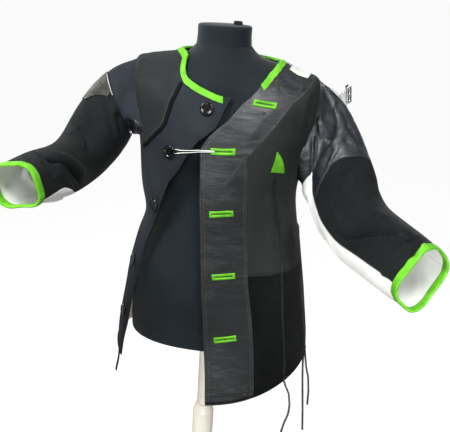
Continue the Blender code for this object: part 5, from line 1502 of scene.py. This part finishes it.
def beside(part, u, v, distance):
    """Places moved across a path by a distance in millimetres, towards larger turns or angles."""
    surface = surface_of(part)
    here, _ = surface(u, v)
    there, _ = surface(u + 0.5, v)
    return u + distance * MM / np.linalg.norm(there - here, axis=-1) * 0.5


def seam_run(part, u, v, offset=0.0, lift=0.25):
    """Points and normals of a sewing line on the outside of the cloth, moved aside and out in millimetres."""
    u, v = np.broadcast_arrays(np.asarray(u, float), np.asarray(v, float))
    if offset:
        u = beside(part, u, v, offset)
    points, normals = worn(part)(u, v)
    return points + normals * (WALL + lift * MM), normals


def seam_pair(part, u, v, *offsets):
    """Sewing lines side by side along one seam, each at its own offset."""
    return [seam_run(part, u, v, offset) for offset in offsets]


def bead_faces():
    """Triangles of a stitch: two rings of four points, and a point at each end."""
    ring = [(k, (k + 1) % 4) for k in range(4)]
    faces = [(0, 1 + after, 1 + k) for k, after in ring] + [(9, 5 + k, 5 + after) for k, after in ring]
    for k, after in ring:
        faces += [(1 + k, 1 + after, 5 + after), (1 + k, 5 + after, 5 + k)]
    return np.array(faces)


def stitched(name, runs, finishes, length=2.6, pitch=3.5, half=0.36):
    """Rows of stitches: one long bead at each equal step along a line, half of it in the cloth."""
    ring = [(0, 1), (1, 0), (0, -1), (-1, 0)]
    bead = np.array([(-1, 0, 0)] + [(s, a, b) for s in (-0.7, 0.7) for a, b in ring] + [(1, 0, 0)])
    bead = bead * np.array([length / 2, half, half * 0.8]) * MM
    sides = bead_faces()
    points, faces, made = [], [], 0
    for line, normals in runs:
        way = np.concatenate([[0], np.cumsum(np.linalg.norm(np.diff(line, axis=0), axis=1))])
        places = np.arange(pitch * MM / 2, way[-1] - length * MM / 2, pitch * MM)
        at, on, out = (
            np.stack([np.interp(where, way, values[:, k]) for k in range(3)], 1)
            for where, values in ((places, line), (places + 0.5 * MM, line), (places, normals))
        )
        out, ahead = unit(out), unit(on - at)
        axes = (ahead, np.cross(out, ahead), out)
        placed = at[:, None] + sum(bead[:, k:k + 1] * axes[k][:, None] for k in range(3))
        points.append(placed.reshape(-1, 3))
        starts = made + np.arange(len(places)) * len(bead)
        faces.append((sides[None] + starts[:, None, None]).reshape(-1, 3))
        made += len(places) * len(bead)
    return new_mesh(name, np.concatenate(points), np.concatenate(faces), finishes)


def piped(name, run, radius, finishes):
    """Thin piping: a circle, its radius in millimetres, carried along a sewing line."""
    line, normals = run
    ahead = unit(np.gradient(line, axis=0))
    side = unit(np.cross(normals, ahead))
    out = np.cross(ahead, side)
    turn = (np.arange(8) * np.pi / 4)[None, :, None]
    circle = radius * MM * (side[:, None] * np.cos(turn) + out[:, None] * np.sin(turn))
    swept(name, line[:, None] + circle, finishes)


def grey_stitches():
    """Grey rows beside the leather's edges, the roll, the right armhole and the left sleeve's seams."""
    rows = np.linspace(3.62, 14.95, 220)
    seam_rows = np.linspace(4.55, 14.9, 200)
    cross = np.array(CROSS_SEAM)
    share = np.linspace(0, len(cross) - 1, 60)
    cross_rows, cross_turns = (np.interp(share, np.arange(len(cross)), cross[:, k]) for k in (0, 1))
    roll_rows = np.linspace(4.3, 7.3, 60)
    leather_low = np.linspace(170, 468, 120)
    strip_along = np.linspace(0.4, LEFT_CUFF - 0.25, 140)
    runs = [
        *seam_pair("body", line_read(LEFT_FRONT_EDGE, rows), rows, 3.5, 9.0),
        *seam_pair("body", line_read(LEATHER_SEAM, seam_rows), seam_rows, -3.0, -7.5),
        seam_run("body", cross_turns, cross_rows - 0.035),
        seam_run("body", cross_turns, cross_rows - 0.075),
        seam_run("body", line_read(ROLLED_EDGE, roll_rows), roll_rows, -7.0),
        seam_run("right", np.linspace(52, 108, 40), 0.14),
        seam_run("left", leather_low, leather_sleeve_edge(leather_low) - 0.06),
        *seam_pair("left", LEFT_STRIP[0], strip_along, 1.5, -1.8),
    ]
    stitched("grey_stitching", runs, (grey_thread,))


def black_stitches(princess, princess_rows):
    """Black rows at the hem, the side, waist, front, centre back and princess seams, and on the sleeves."""
    side_rows = np.linspace(7.9, 14.9, 120)
    waist = np.linspace(float(line_read(LEATHER_SEAM, WAIST_SEAM_ROW)), 89, 60)
    front_rows = np.linspace(4.6, 14.9, 160)
    back_rows = np.linspace(3.8, 14.9, 180)
    round_cuff = np.linspace(LEFT_STRIP[0], LEFT_STRIP[0] + 360, 160)
    runs = [
        seam_run("body", np.linspace(-110, -66, 60), 14.63),
        seam_run("body", np.linspace(2, 245, 300), 14.63),
        seam_run("body", 90.0, side_rows, 3.0),
        seam_run("body", line_read(RIGHT_SIDE_SEAM, side_rows), side_rows, -3.0),
        seam_run("body", waist, 10.56),
        seam_run("body", waist, 10.5),
        *seam_pair("body", line_read(RIGHT_FRONT_EDGE, front_rows), front_rows, -5.0, -11.0),
        *seam_pair("body", 180.0, back_rows, 3.0, -3.0),
        *seam_pair("body", princess, princess_rows, 4.5, -4.5),
        seam_run("right", np.linspace(229, 474, 120), CAP_END - 0.05),
        seam_run("left", round_cuff, LEFT_CUFF - 0.5),
        seam_run("right", round_cuff, RIGHT_CUFF - 0.5),
        seam_run("left", LEFT_BACK_SEAM, np.linspace(LEATHER_END - 0.5, LEFT_CUFF - 0.3, 80), 2.5),
    ]
    stitched("black_stitching", runs, (black_thread,))


def green_stitches():
    """Green rows along both edges of the neck tape."""
    tape_turns = neck_tape_turns()
    stations = np.linspace(0, 1, len(tape_turns))
    turns = np.interp(np.linspace(0.01, 0.99, 300), stations, tape_turns)
    here, _ = body_surface(turns, NECK_ROW)
    there, _ = body_surface(turns, NECK_ROW + 0.01)
    pace = np.linalg.norm(there - here, axis=-1) / 0.01
    runs = []
    for down in (1.6, 12.5):
        points, normals = body_surface(turns, NECK_ROW + down * MM / pace)
        runs.append((points + normals * (WALL + LAID_GAP + TAPE + 0.1 * MM), normals))
    stitched("green_stitching", runs, (green_thread,), half=0.3)


def sewing():
    """All stitching, the laced piping of the princess seam, the rolls of the hem and the pale pipings."""
    princess_rows = np.linspace(7.4, 14.6, 140)
    princess = line_read(PRINCESS_SEAM, princess_rows)
    grey_stitches()
    black_stitches(princess, princess_rows)
    green_stitches()
    for name, apart in (("inner", -1.6), ("outer", 1.6)):
        run = seam_run("body", princess, princess_rows, apart, 0.7)
        piped(f"side_lacing_{name}", run, 1.1, (leather,))
    hem_row = 14.86
    left = np.linspace(float(line_read(LEFT_FRONT_EDGE, hem_row)) + 0.8, 88.0, 120)
    right = np.linspace(-88.0, float(line_read(RIGHT_FRONT_EDGE, hem_row)) - 0.8, 120)
    for side, turns in (("left", left), ("right", right)):
        piped(f"hem_roll_{side}", seam_run("body", turns, hem_row, lift=-0.6), 2.4, (suede,))
    armhole = seam_run("left", np.linspace(20, 112, 60), 0.07, lift=0.6)
    piped("armhole_piping_left", armhole, 0.8, (webbing,))
    patch_edge = seam_run("right", np.linspace(14, 66, 30), CAP_END + 0.05, lift=2.2)
    piped("patch_piping", patch_edge, 0.9, (webbing,))


def kept_nodes():
    """Nodes that keep their own shape and get a finish."""
    for node, finish_of in (("sling_slide", steel), ("sling_webbing", cord), ("sling_tab", webbing),
                            ("hem_strap_right", cord), ("lace_fitting", plastic)):
        shape = NODES[node]
        shape.data.materials.clear()
        shape.data.materials.append(finish_of)


def declare_sheets():
    """States the cut of each piece of cloth: greatest width and length along it, and its area.

    A slanting or tapering piece has less width than its grid. For each piece not laid on another a width is
    worked out, at which its area is nine tenths of width times length, but that width is not used.
    """
    carried = {
        "front_left_chest": ["dart_triangle"],
        "front_left_leather_upper": ["shoulder_label"],
        "sleeve_right_upper": ["sleeve_right_patch"],
    }
    laid = [name for names in carried.values() for name in names]
    for node, (made, (width, length), area) in CUTS.items():
        print(f"cut {node}: {width * 1000:.0f} x {length * 1000:.0f} mm, {area * 1e4:.0f} cm2")
        if node in laid:
            continue
        width = max(width, area / length)
        if area < SLANTING_SHARE * width * length:
            width = area / length / 0.9


def camera():
    """Camera at the photograph's angle. Its upward direction is squared to its right one."""
    bpy.context.scene.view_settings.view_transform = "Standard"
    lens = bpy.data.cameras.new("camera")
    lens.lens, lens.sensor_width = LENS, SENSOR
    eye = bpy.data.objects.new("camera", lens)
    bpy.context.scene.collection.objects.link(eye)
    right = Vector(EYE_RIGHT).normalized()
    back = right.cross(Vector(EYE_UP)).normalized()
    axes = Matrix((right, back.cross(right), back)).transposed().to_4x4()
    eye.matrix_world = Matrix.Translation(EYE) @ axes
    bpy.context.scene.camera = eye


def room():
    """Pale floor that turns up into a round room far off: a disk with half a sphere over it, as one surface.

    Step 0 to half is the disk from its middle out, and half to 1 the half sphere from its rim to its top.
    """
    turn, step = np.meshgrid(np.arange(64) * np.pi / 32, np.linspace(0, 1, 24), indexing="ij")
    on_disk = step < 0.5
    reach = ROOM_RADIUS * np.where(on_disk, np.maximum(step * 2, 0.002), np.sin(np.pi * step))
    rise = ROOM_RADIUS * np.where(on_disk, 0.0, -np.cos(np.pi * step)) - 0.5 * MM
    points = np.stack([reach * np.cos(turn), reach * np.sin(turn), rise], -1)
    count, rings = turn.shape
    ring = np.arange(rings - 1)
    near = np.arange(count)[:, None] * rings + ring
    far = (np.arange(count) + 1)[:, None] % count * rings + ring
    quads = np.stack([near, near + 1, far + 1, far], -1).reshape(-1, 4)
    mesh = bpy.data.meshes.new("pale_floor")
    mesh.from_pydata(points.reshape(-1, 3), [], quads[:, ::-1])
    mesh.materials.append(paper)
    floor = bpy.data.objects.new("pale_floor", mesh)
    floor.visible_diffuse = floor.visible_glossy = floor.visible_shadow = False
    bpy.context.scene.collection.objects.link(floor)


def lamp(light, place, aim):
    """Hangs a light at a place and turns it to the point it is aimed at."""
    hung = bpy.data.objects.new(light.name, light)
    bpy.context.scene.collection.objects.link(hung)
    way = (Vector(aim) - Vector(place)).to_track_quat("-Z", "Y")
    hung.matrix_world = Matrix.Translation(place) @ way.to_matrix().to_4x4()


def studio():
    """Even light from the room, soft round lamps, and narrow ones on the cuffs and the pole."""
    world = bpy.data.worlds.new("studio")
    world.use_nodes = True
    shade = next(n for n in world.node_tree.nodes if n.type == "BACKGROUND")
    shade.inputs["Color"].default_value = (1, 1, 1, 1)
    shade.inputs["Strength"].default_value = WORLD_LIGHT
    bpy.context.scene.world = world
    for name, place, aim, size, power in LIGHTS:
        light = bpy.data.lights.new(name, "AREA")
        light.shape, light.size, light.energy = "DISK", size, power
        lamp(light, place, aim)
    for name, place, aim, cone, power in NARROW_LIGHTS:
        light = bpy.data.lights.new(name, "SPOT")
        light.spot_size, light.spot_blend = math.radians(cone), 0.6
        light.shadow_soft_size, light.energy = 0.06, power
        lamp(light, place, aim)


camera()
room()
studio()
cords()
dress_form()
turned_stand()
cloth_body()
cloth_sleeves()
laid_trim()
bindings()
rolled_edge()
sling_flap()
buttons()
buttonholes()
sewing()
kept_nodes()
declare_sheets()
